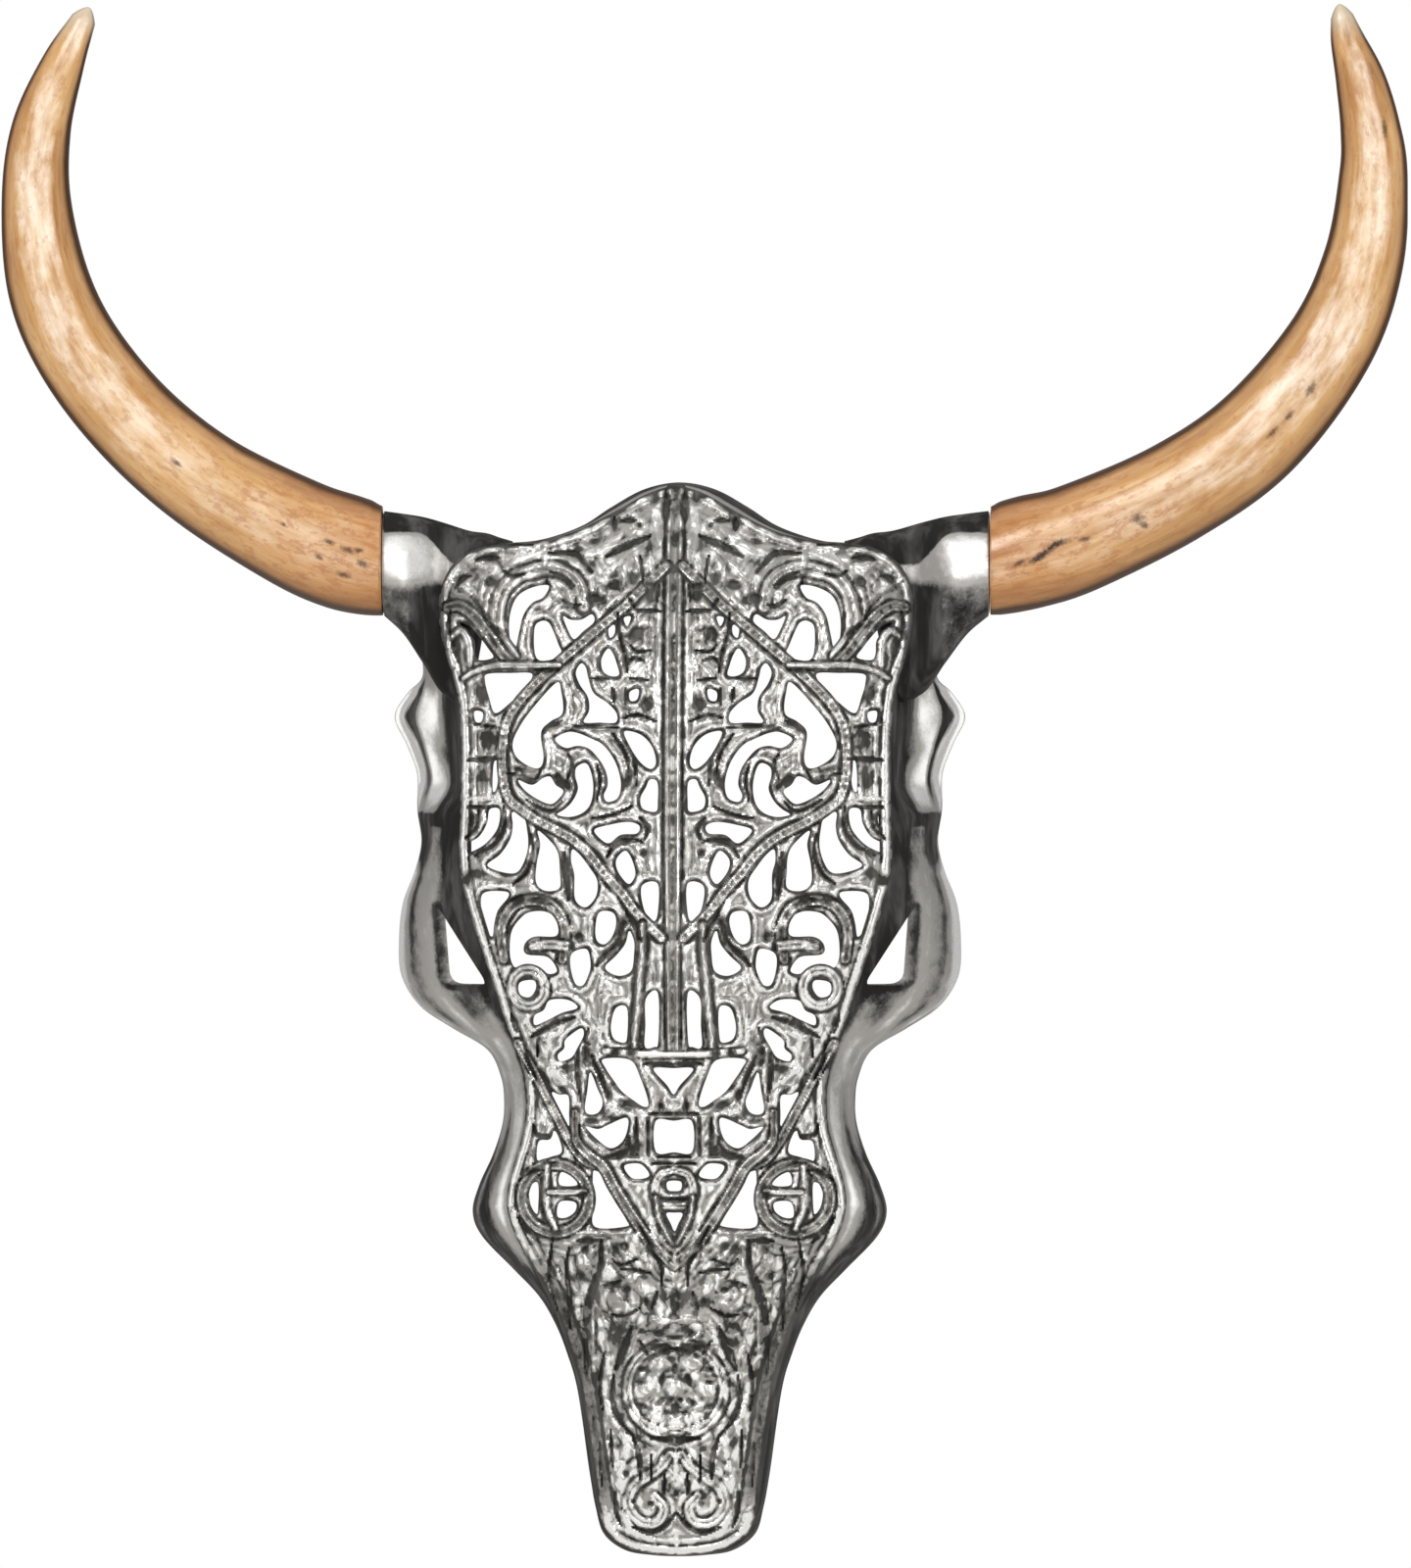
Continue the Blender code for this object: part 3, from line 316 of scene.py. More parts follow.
@dataclass(frozen=True)
class Stroke:
    """One bar, leaf or groove of the ornament, given by its centre line."""

    form: Form
    width: float
    points: Array
    height: float
    ends: Span = (0.85, 0.85)
    ring: bool = False

    def profile(self, t: Array, travelled: Array, side: Array) -> Array:
        """Gives the section's height: sqrt(1 - t^2) for a round back, with its crest, lips, vein or strands.

        Args:
            t: Distance from the centre line over the half width.
            travelled: Length along the stroke.
            side: 1 or -1 for the side of the line.

        Returns:
            The height from 0 to 1.
        """
        dome = np.sqrt(np.clip(1 - t * t, 0, 1))
        if self.form is Form.CRESTED:
            return dome * (CREST_FLOOR + laid(t, CREST_LINE))
        if self.form is Form.LIPPED:
            return dome * (LIP_FLOOR + laid(t, LIP_LINE))
        if self.form is Form.VEINED:
            return dome - laid(t, VEIN_LINE)
        if self.form is Form.ROPE:
            strand = np.sin(2 * math.pi * travelled / STRAND_PITCH + STRAND_SLANT * side * t)
            return dome * (ROPE_FLOOR + laid(t, ROPE_LIP) + laid(t, ROPE_CORE) * (0.5 + 0.5 * strand))
        return dome

    def measure(self, at: Array) -> tuple[Array, Array]:
        """Measures flat places against the stroke.

        Args:
            at: Flat places.

        Returns:
            The signed distance to the edge, and the section's height from 0 to 1.
        """
        line = curve_through(self.points, 8, closed=self.ring)
        if self.ring:
            line = closed_up(line)
        distance, travelled, side = line_distance(line, at)
        total = float(np.linalg.norm(np.diff(line, axis=0), axis=1).sum())
        first, last = self.ends
        share = np.minimum(first + (1 - first) * travelled / (END_TAPER * total),
                           last + (1 - last) * (total - travelled) / (END_TAPER * total))
        half = self.width / 2 * (1 if self.ring else np.clip(share, NARROWEST, 1))
        return distance - half, self.profile(np.clip(distance / half, 0, 1), travelled, side)

    def near(self, at: Array, reach: float) -> Array:
        """Says which flat places are near the stroke's points."""
        return near_box(self.points, reach + self.width, at)


@dataclass(frozen=True)
class Spot:
    """A small oval knob or pit: centre, half sizes, height, below zero for a pit, and turn in degrees."""

    x: float
    z: float
    across: float
    along: float
    height: float = 1.6
    turn: float = 0.0

    def measure(self, at: Array) -> Array:
        """Measures flat places against the oval.

        Args:
            at: Flat places.

        Returns:
            The oval distance: 0 at the centre, 1 on the oval's edge.
        """
        angle = math.radians(self.turn)
        dx, dz = at[:, 0] - self.x, at[:, 1] - self.z
        u = dx * math.cos(angle) + dz * math.sin(angle)
        v = dz * math.cos(angle) - dx * math.sin(angle)
        return np.hypot(u / self.across, v / self.along)


def oval(left: float, down: float, across: float, along: float) -> Array:
    """Gives 16 points round an oval: centre - (across cos a, along sin a)."""
    angles = round_angles(16)
    return np.column_stack([left - across * np.cos(angles), down - along * np.sin(angles)])


def face_places(numbers: Array) -> Array:
    """Turns numbers to the left and down, in turn, into places (x, z)."""
    return -np.array(numbers, dtype=float).reshape(-1, 2)


def stroke(form: Form, width: float, numbers: Array, *more: Value, ring: bool = False) -> Stroke:
    """Makes a stroke from numbers to the left and down."""
    return Stroke(form, width, face_places(numbers), *more, ring=ring)


BORDER_INSET, BORDER_WIDTH, BORDER_HEIGHT = 1.9, 3.8, 2.4
# Bands that stand proud of the plate, with a dark line of patina and painted shade on each side
BANDS = {
    "rib": stroke(Form.LIPPED, 7.4, (0, -16, 0, 60, 0, 130, 0, 189), 3.0, (1, 0.8)),
    "upper_rope": stroke(Form.ROPE, 4.6, (3, 12, 10, 19, 18, 27, 24, 32, 30, 37, 37, 43, 43.5, 48.5,
        50, 54.5, 57, 62, 61.5, 70, 63, 80, 62.5, 90, 60.5, 97, 56, 101, 50, 105, 42, 109, 36, 112.5,
        30, 118, 25, 124.5, 19, 131, 13, 139, 4, 148), 3.0, (1, 1)),
    "lower_rope_outer": stroke(Form.LIPPED, 4.2, (58, 187, 53.5, 194.5, 49.5, 202, 45, 210.5, 41, 218,
        38, 223.5, 33.5, 229.5, 28, 232), 2.8, (1, 0.8)),
    "lower_rope_inner": stroke(Form.LIPPED, 5, (36.5, 212, 36, 222, 31.5, 227.5, 26, 232, 21.5, 240,
        15, 250.5, 8, 260.5, 0, 268), 3.0, (0.6, 1)),
    "corner_ring": stroke(Form.VEINED, 6.5, (59, 45, 64, 38, 65.2, 30, 63.5, 22, 58.5, 16, 51, 13.5,
        44, 13, 38, 15.5, 34.5, 20, 33, 27), 2.8),
    "temple_scroll": stroke(Form.LIPPED, 5.4, (84, 27, 79.5, 26.5, 74, 30, 69, 36, 64, 43, 59, 48), 2.8),
    "temple_loop": stroke(Form.ROUND, 3.6, (82, 38, 79, 35.5, 76, 39.5, 75.5, 48), 2.4),
    "brow_bar": stroke(Form.ROUND, 3.2, (78, 53, 73, 50.2, 65, 48.3, 55, 48.3, 42, 48.3), 2.2),
    "cheek_ring": stroke(Form.LIPPED, 5, (62.5, 156, 63.5, 146, 61, 139, 56, 135, 49, 134.5, 43.5, 137,
        40, 142.5, 39.5, 149, 40.5, 156), 2.8),
    "cheek_tongue": stroke(Form.VEINED, 4.6, (52, 151.5, 46, 150.5, 39, 151), 2.6, (0.7, 1)),
    "second_ring": stroke(Form.VEINED, 4.6, oval(53.5, 166.5, 6.3, 6.6), 2.6, ring=True),
    "medallion_ring": stroke(Form.LIPPED, 5, oval(44, 243.8, 12.6, 12.6), 3.0, ring=True),
    "medallion_bar": stroke(Form.CRESTED, 4, (47, 232, 47.5, 240, 47, 248, 44, 255), 2.4),
    "medallion_arm": stroke(Form.ROUND, 3, (46.5, 241.5, 38, 241.5, 33, 241), 2.2),
    "tear_ring": stroke(Form.VEINED, 4, (0, 233, 5.2, 235, 7, 240.5, 5.5, 245.5, 0, 246.5), 2.6),
    "tear_leg": stroke(Form.CRESTED, 3.4, (6.8, 243, 5.4, 251, 1, 260), 2.6),
    "rib_stay": stroke(Form.CRESTED, 4.4, (11, 143, 11, 152, 12, 162, 13, 174, 14.5, 190), 2.4),
    "muzzle_bar": stroke(Form.ROUND, 3.6, (25, 189.5, 12, 190.5, 0, 190.7), 2.4),
    "medallion_rim": stroke(Form.VEINED, 4.6, oval(0, 314, 17.8, 17), 2.6, ring=True),
    "chin_scroll": stroke(Form.VEINED, 5, (2, 338, 6, 343, 12, 347, 17, 352, 17.5, 358, 13, 363, 7, 363,
        4.5, 358, 8, 353.5), 2.4),
}

# Openings between the bars, from the crown down, each given by the corners of its outline
WINDOWS = (
    (46, 19, 52, 19.5, 58, 23, 60.7, 30, 60.7, 38, 58.5, 43, 57, 37, 55.3, 30, 52, 25.5, 48, 23.5),
    (51.5, 35, 49, 32, 46, 32.5, 44, 36, 42, 41, 40.5, 44.5, 43, 46, 50.5, 46),
    (41, 30, 38, 31.5, 34, 31.5, 30, 29.5, 29, 32.5, 33, 36, 36.5, 39, 38.8, 36),
    (24, 42, 22, 44, 20.5, 48, 19.7, 52, 23, 52.5, 26, 50.5, 26.5, 46),
    (80, 32.5, 76, 33.5, 72, 37.5, 68.5, 42, 66.5, 45.5, 72, 46.5, 73.6, 44, 74, 39, 77.5, 35),
    (69, 51.3, 60, 51, 52, 51.3, 54, 56, 60, 62, 66, 66, 68.5, 60, 70, 54),
    (24, 34.5, 21.5, 33.5, 21.5, 37, 23.5, 38.5), (18.5, 31, 15.5, 30.5, 17, 34.5),
    (16, 58, 12.5, 57, 13, 61, 15.8, 61.5), (74, 65, 70.5, 65.5, 71, 69, 73.5, 69),
    (43, 54.5, 41, 58, 40.5, 66, 45, 69, 48.5, 73, 47.5, 82, 49, 86, 53, 85.5, 58, 82, 59.5, 77, 57, 71,
     52, 64), (34, 47.5, 36, 51, 34.5, 55.5, 31.5, 60, 31, 65, 33, 69.3, 27, 69.5, 21, 69.5, 20.5, 66,
     24, 62, 29, 58.5, 31, 53, 32, 49), (43.5, 75, 39, 72.7, 35, 73, 30, 75, 26, 77, 22.5, 81, 20, 86,
     18.8, 92, 20, 97, 24, 98.5, 25.5, 96, 24, 92, 24.8, 87, 27.5, 82.5, 31, 79, 35, 78, 39, 78.8,
     42, 77.5),
    (35.5, 85.5, 32, 84, 30, 87, 29, 93, 30, 99, 33, 102.5, 38, 104, 43, 103, 40, 101, 37, 98, 35, 93.5,
     36, 89), (57.5, 90, 52, 92, 48, 89.5, 45, 89, 43, 92, 40, 94.3, 42, 97.5, 45, 99.3, 50, 97.5,
     55, 94), (18, 72.5, 12, 73.5, 7.5, 78, 6, 84, 8, 86.5, 12, 84, 16, 78),
    (8.5, 90, 5.5, 91, 5.3, 98, 6, 102, 11, 101, 12, 97, 10, 93),
    (29, 108.5, 23, 106.5, 16, 105.5, 12, 107, 13, 110, 19, 110.5, 23, 113.5, 26, 112.5),
    (20, 118, 17, 116, 14.5, 120, 13.5, 125, 16, 128.5, 19.5, 125, 21, 121),
    (66.5, 84, 64.8, 83.5, 64.8, 92, 66.5, 95.5, 67, 92), (79, 102.5, 74.5, 103, 75, 108, 79, 113),
    (68, 101, 64, 101, 64.3, 107, 67, 111.5, 71, 115, 77.3, 117.5, 77, 114, 72, 111, 69, 106),
    (59.5, 102, 55, 103.5, 53.5, 109, 53.2, 115, 55, 121, 58, 124.5, 64, 124, 69, 121.5, 64, 117.5,
     60.3, 112, 59.3, 107),
    (50, 108.5, 45, 112.5, 42, 117, 41.3, 124, 41.5, 130, 47, 131, 50.5, 128, 50.3, 121, 49, 114),
    (37, 115.5, 34, 117.5, 30.5, 122, 27.5, 127, 28, 133, 32, 137, 36, 134, 36.3, 125, 37.5, 120),
    (70.7, 132, 62, 131, 60.5, 133, 64.5, 138, 66, 143, 66.8, 148, 69, 146, 70.7, 141),
    (60.5, 150, 59.5, 145, 56.5, 141, 53, 138.6, 47, 138.3, 43, 141, 42.5, 147.3, 51, 147.8, 54.6, 150.5,
     54, 154, 46, 155, 42.5, 160, 45.5, 161.5, 48.5, 160, 53, 158, 58, 159.5, 60.3, 156),
    (57, 164.5, 51.5, 163.5, 50.5, 166.5, 53, 170, 57, 169),
    (46, 171, 41, 170.3, 37, 171.3, 35, 173.8, 41, 175.7, 47, 178.7, 51.5, 180.3, 51.5, 176.5, 48, 174.5),
    (37.5, 154, 34, 152, 31, 152.5, 30, 158, 31, 162, 33, 165.5, 36, 165, 37.8, 159),
    (27, 138.5, 22, 138.5, 20.5, 142, 22, 147.5, 25, 150.5, 28, 149, 28.5, 144),
    (16, 145, 14, 149, 14, 154, 15, 160, 19, 162, 23, 161, 25, 158.5, 21, 154.5, 17.5, 150),
    (11.5, 129, 5.3, 128, 5.3, 139, 7, 142, 10.5, 138),
    (21, 173.5, 16.7, 173.5, 16.7, 184, 18, 186.5, 22, 185, 23, 180),
    (10, 170, 5.3, 168, 5.3, 186, 7, 188, 10.5, 188, 10.3, 180),
    (34, 181, 32.8, 183.5, 35, 188, 37.5, 192, 42, 193.5, 43, 191, 40.5, 188.5, 40, 185.3),
    (60.5, 187, 58.6, 187, 56, 193, 55, 198, 57.3, 197, 59.5, 192),
    (45.5, 204.5, 42.5, 205.5, 38.8, 206, 38.6, 213, 38.6, 219.5, 41, 215, 44, 209),
    (31, 197, 29.5, 199, 28, 203, 26, 208, 27.5, 212, 31, 213, 33, 211, 32, 204),
    (26, 192.3, 15.8, 192.5, 12, 199, 9, 208.5, 11, 210, 15, 207.5, 19, 204.5, 22, 200.5, 25, 196),
    (33, 217, 28, 218, 24, 216.3, 17.2, 213.7, 16.8, 218, 19, 223, 23.5, 225.3, 28.5, 222),
    (6.8, 215, 0, 214.8, -6.8, 215, -6.8, 226.5, 0, 226.7, 6.8, 226.5),
    (7.5, 195.8, 0, 195.5, -7.5, 195.8, -2.5, 202, 0, 205.5, 2.5, 202),
    (50.5, 223, 46, 222, 44.5, 218.5, 42.3, 222, 41.5, 227, 46, 228.8, 50.8, 230.5),
    (30, 233.5, 27.5, 234, 25, 239, 21.5, 245, 17.5, 251.5, 17.5, 254, 29.5, 254.3, 30, 246),
    (18.5, 231.5, 13, 230.5, 10, 232.7, 9, 235.3, 12, 236.5, 16, 236),
    (42, 234, 37.5, 234.5, 35.5, 238.8, 42.5, 239), (43.5, 250.5, 42.5, 245, 36.5, 245, 36.5, 248.5,
     40, 251), (54, 240, 50.5, 238, 50.3, 246, 51, 250, 53.5, 246.5),
    (3.2, 249, 0, 248.6, -3.2, 249, -1.5, 253, 0, 256, 1.5, 253),
    (2.8, 237.5, 0, 236.8, -2.8, 237.5, -2.5, 240.5, 0, 241, 2.5, 240.5),
)

# Bright raised leaves and ridges with narrow ends: width, then the places on the centre line
CREST_HEIGHT, CREST_ENDS = 1.4, (0.35, 0.35)
CRESTS = tuple(stroke(Form.ROUND, width, points, CREST_HEIGHT, CREST_ENDS) for width, *points in (
    (4.4, 46, 4.5, 38, 1.5, 30, -2, 24.5, -5), (4.2, 33, 8, 26, 5.5, 19.5, 0.5), (3.2, 47.5, 0.5,
     47.5, 12.5), (5.5, 60, 11, 55, 7.8, 49.5, 6.5), (3.6, 7, -3.5, 7, -11), (2.8, 9, 7, 7.5, 17.5),
    (2.6, 30, 15, 30, 22), (3, 17, -12, 10.5, -14.8), (2.4, 15, 7, 12.5, 12, 12, 16), (2, 5, 3, 5.5, 12),
    (2.2, 19.5, 10, 24, 14, 27, 18), (2, 18.5, 12, 18, 20), (3, 27, -7, 19, -10), (3, 84, 16, 79, 19,
     75, 22), (2.6, 73, 11, 69, 13.5), (2.5, 83, 33, 84, 45), (2.4, 81, 49, 82.5, 54), (2, 72, 6.5,
     64, 6), (2.4, 26, 28, 21, 24), (2, 8, 31, 7, 38), (2, 22, 39, 19.5, 45, 18.3, 51), (2, 29, 42,
     28.5, 50), (2.4, 10, 48, 14, 52, 12, 56), (2.2, 25, 57, 21, 55), (1.8, 7, 50, 6.5, 66), (2, 13, 63,
     10, 68), (2.6, 76.5, 97.2, 67, 97.2), (1.8, 76, 70, 65, 69.5), (3, 53, 197, 54.3, 206, 54, 215),
    (2.2, 45.5, 193, 43.5, 197.5, 38.5, 200.5), (2.4, 47, 196, 46, 201), (1.6, 34, 217.5, 29, 223.5,
     25, 227), (2, 24.5, 209, 21, 212), (2, 3.4, 206.5, 3, 211), (2.4, 46, 189, 46, 184), (3, 12, 192.8,
     9.5, 203), (2, 27, 176, 27, 188), (2, 49, 211, 48, 217), (2.4, 54, 176, 55.5, 180),
    (2.4, 41, 182.5, 48, 185.5), (2, 41, 141, 36, 147), (2.4, 73, 153, 68, 151), (1.8, 25, 160, 27, 168),
    (2.4, 53, 226, 53, 233), (2.4, 36, 256.3, 24, 256.3, 15, 256.3), (2.2, 60, 247, 58, 253),
    (3, 43.5, 270, 42.6, 276, 41.5, 283), (2.4, 36, 278, 36.4, 290), (2.4, 38.5, 293, 37, 299),
    (1.6, 30.3, 282, 30.3, 302), (3.4, 28.2, 288, 26.4, 296, 25, 306), (2.4, 13.5, 292, 16, 299,
     18.8, 305), (2.4, 9, 253, 6.5, 260, 2.5, 266), (2.8, 0, 262, 0, 277), (3.2, 8.5, 288.2, 0, 288.7),
    (2, 10, 293, 5, 295, 0, 295.5), (1.8, 24.5, 262, 25, 268, 27.5, 276), (1.8, 11, 260, 10, 270),
    (2.4, 18.8, 329, 18.4, 334, 18.6, 341), (5, 19.5, 341, 20, 352), (2, 26, 331, 25.6, 342),
    (3.2, 26.5, 350, 25.5, 361, 22.5, 369), (2.4, 0, 336, 0, 348), (3, 20, 359, 16.5, 365.5, 9, 369),
    (2, 0, 367, 0, 374), (2, 12, 325, 6, 328, 0, 328.6), (1.8, 27, 315, 24.5, 323, 22, 328),
    (1.6, 5, 338, 6.5, 344), (2, 46, 262, 48.5, 268), (1.6, 35, 303, 32, 316, 31, 328),
))

# Dark lines cut into the metal, given in the same way
GROOVE_DEPTH, GROOVE_ENDS = 2.2, (0.4, 0.4)
GROOVES = tuple(stroke(Form.ROUND, width, points, GROOVE_DEPTH, GROOVE_ENDS) for width, *points in (
    (2.4, 46, 7.2, 37, 7.4, 32.5, 11.5, 30, 14.5), (3, 25, 8.5, 18, 5, 9, 1), (1.8, 22.3, -6, 22, -1.5),
    (1.8, 20, -4.6, 14.5, -4.6), (2.6, 3.2, -14, 3.6, -4), (1.5, 78, 1.5, 66, 2, 50, 2.4),
    (1.2, 70, 4.6, 60, 4.3, 52, 4), (2.2, 73, 9.5, 69, 8.6, 65, 8.8), (2.4, 45.5, 14, 41, 16, 36.5, 19.5),
    (2, 47, 17, 46.3, 20.5, 50, 24.5), (1.8, 41, 24.5, 37, 26.8, 34, 26), (1.4, 63, 13.5, 60, 15.5,
     55, 15), (2, 81, 20, 78.5, 16.5, 75, 15.3), (1.8, 82.8, 28, 83.2, 34, 82.5, 39),
    (1.4, 75, 23.5, 71.5, 27, 69.5, 32), (1.2, 51, 46.6, 43, 46.6), (1.5, 51, 50.2, 42, 50.4),
    (1.5, 20.3, 29, 19.8, 37, 17.5, 45, 16.8, 51), (1.5, 11, 46.5, 15, 46, 17, 48.5), (1.7, 13.5, 28.4,
     4.5, 28.6), (1.4, 16.5, 23.5, 14, 28), (1.6, 30, 53.3, 23.5, 53.4), (1.6, 22, 57, 21.5, 62),
    (1.4, 17.2, 56.5, 17.2, 63), (1.3, 11, 20, 12.5, 8), (1.3, 5.6, 19, 6, 25), (1.2, 8, 43, 13, 43.5,
     16, 41), (1.2, 9, 54, 16, 53), (1.3, 19, 68, 13, 66.5, 6, 69), (1.3, 40, 71, 30, 70.8, 20, 71.2),
    (2.2, 76, 83, 64, 82.6), (1.6, 76.5, 100.3, 66, 100.3), (1.4, 74, 69.8, 65, 71),
    (2, 72, 102, 73, 108, 77, 112), (2.2, 62.5, 100, 62, 107, 66, 113.5, 73, 117.8),
    (2.2, 52, 110, 51.5, 117, 54, 124, 59, 128.5), (3, 40, 117, 38.8, 126, 38, 134),
    (2, 24, 118.5, 21, 113.8, 15, 112, 11, 113), (2, 12, 104, 9.3, 108, 10, 112),
    (1.4, 30, 104.5, 22, 103, 15, 100), (2, 61, 88, 56, 88.8, 51, 90.3, 48.5, 87),
    (2, 54, 97.5, 49, 100.5, 44, 101.5, 40.5, 98), (1.6, 38.5, 81, 36.8, 84, 38.5, 90),
    (1.6, 28, 84, 26.5, 90, 27.8, 98), (2.2, 49, 74, 46, 71.5, 40.5, 68.5), (1.6, 17, 74, 14, 83,
     13.3, 92), (1.6, 22, 73.5, 17.5, 80, 15.8, 88), (3, 18, 143, 19.5, 149, 24, 153.5, 28, 158),
    (2, 17, 138.5, 13.5, 144, 11.5, 149), (1.8, 60, 176, 58, 183), (2.8, 36, 177, 44, 179.3, 52.5, 184.5),
    (1.8, 55, 186, 54, 193, 51, 200), (1.4, 50, 185, 50.5, 192), (1.8, 31, 181, 32.5, 185.5, 30.5, 187),
    (2.4, 30, 191, 27, 198, 25, 204), (2, 34.5, 186, 35.5, 196, 34, 208), (2.4, 10.5, 194, 0, 194),
    (1.6, 57.5, 196, 57.6, 208, 57, 222), (3.4, 16.2, 221, 18.5, 226.5, 25, 228.5), (1.6, 9.3, 213.5,
     9.3, 228), (1.8, 13.8, 214, 13.5, 228), (1.8, 9, 212.4, 0, 212.4), (1, 6, 228.3, 0, 228.3),
    (1.2, 8, 230.6, 0, 230.4), (2, 5, 243.6, 0, 243.6), (2, 52, 217, 50.8, 220.5, 46, 220.8),
    (1.8, 57.5, 237.5, 53, 234, 48, 233.5), (2.4, 58, 251, 54, 256, 50, 260), (1.6, 60, 196, 61, 206,
     60.5, 216), (2.4, 36, 259.3, 28, 259), (3.2, 27, 259, 27.3, 268, 29.5, 275, 32, 283, 33, 296,
     33, 309), (1.8, 39, 262, 40, 270, 39, 280, 39.2, 292), (3, 16, 291, 18.3, 297.5, 22, 306.5),
    (1.6, 12.5, 254, 9, 261, 5, 268, 5, 276), (1.6, 6.5, 278, 8.5, 284), (3.4, 10, 298.2, 0, 299),
    (1.4, 13, 296, 10, 301), (1.6, 20, 274, 26, 276), (2, 22.8, 309, 23.3, 318, 20.5, 325.5, 16, 331),
    (2.2, 15.8, 331, 13.6, 338, 13, 347), (2, 9, 331.8, 0, 332.2), (1.8, 22.5, 352, 22, 360, 20.5, 365),
    (2, 0, 359.5, 4.5, 364.5, 10, 367, 16, 365), (1.4, 24, 329, 23.6, 343), (1.6, 28, 334, 27.5, 350),
    (1.4, 4, 345, 4.5, 353), (1.2, 9, 338, 9, 347), (1.6, 26, 300, 28, 312, 27, 322),
    (1.4, 45, 258, 46.5, 272, 43.5, 286), (1.4, 14, 266, 20, 268, 23, 266), (1.4, 9, 271, 14, 270,
     20, 269.5), (1.3, 13, 284, 18.5, 286.8, 23.5, 286.5),
))

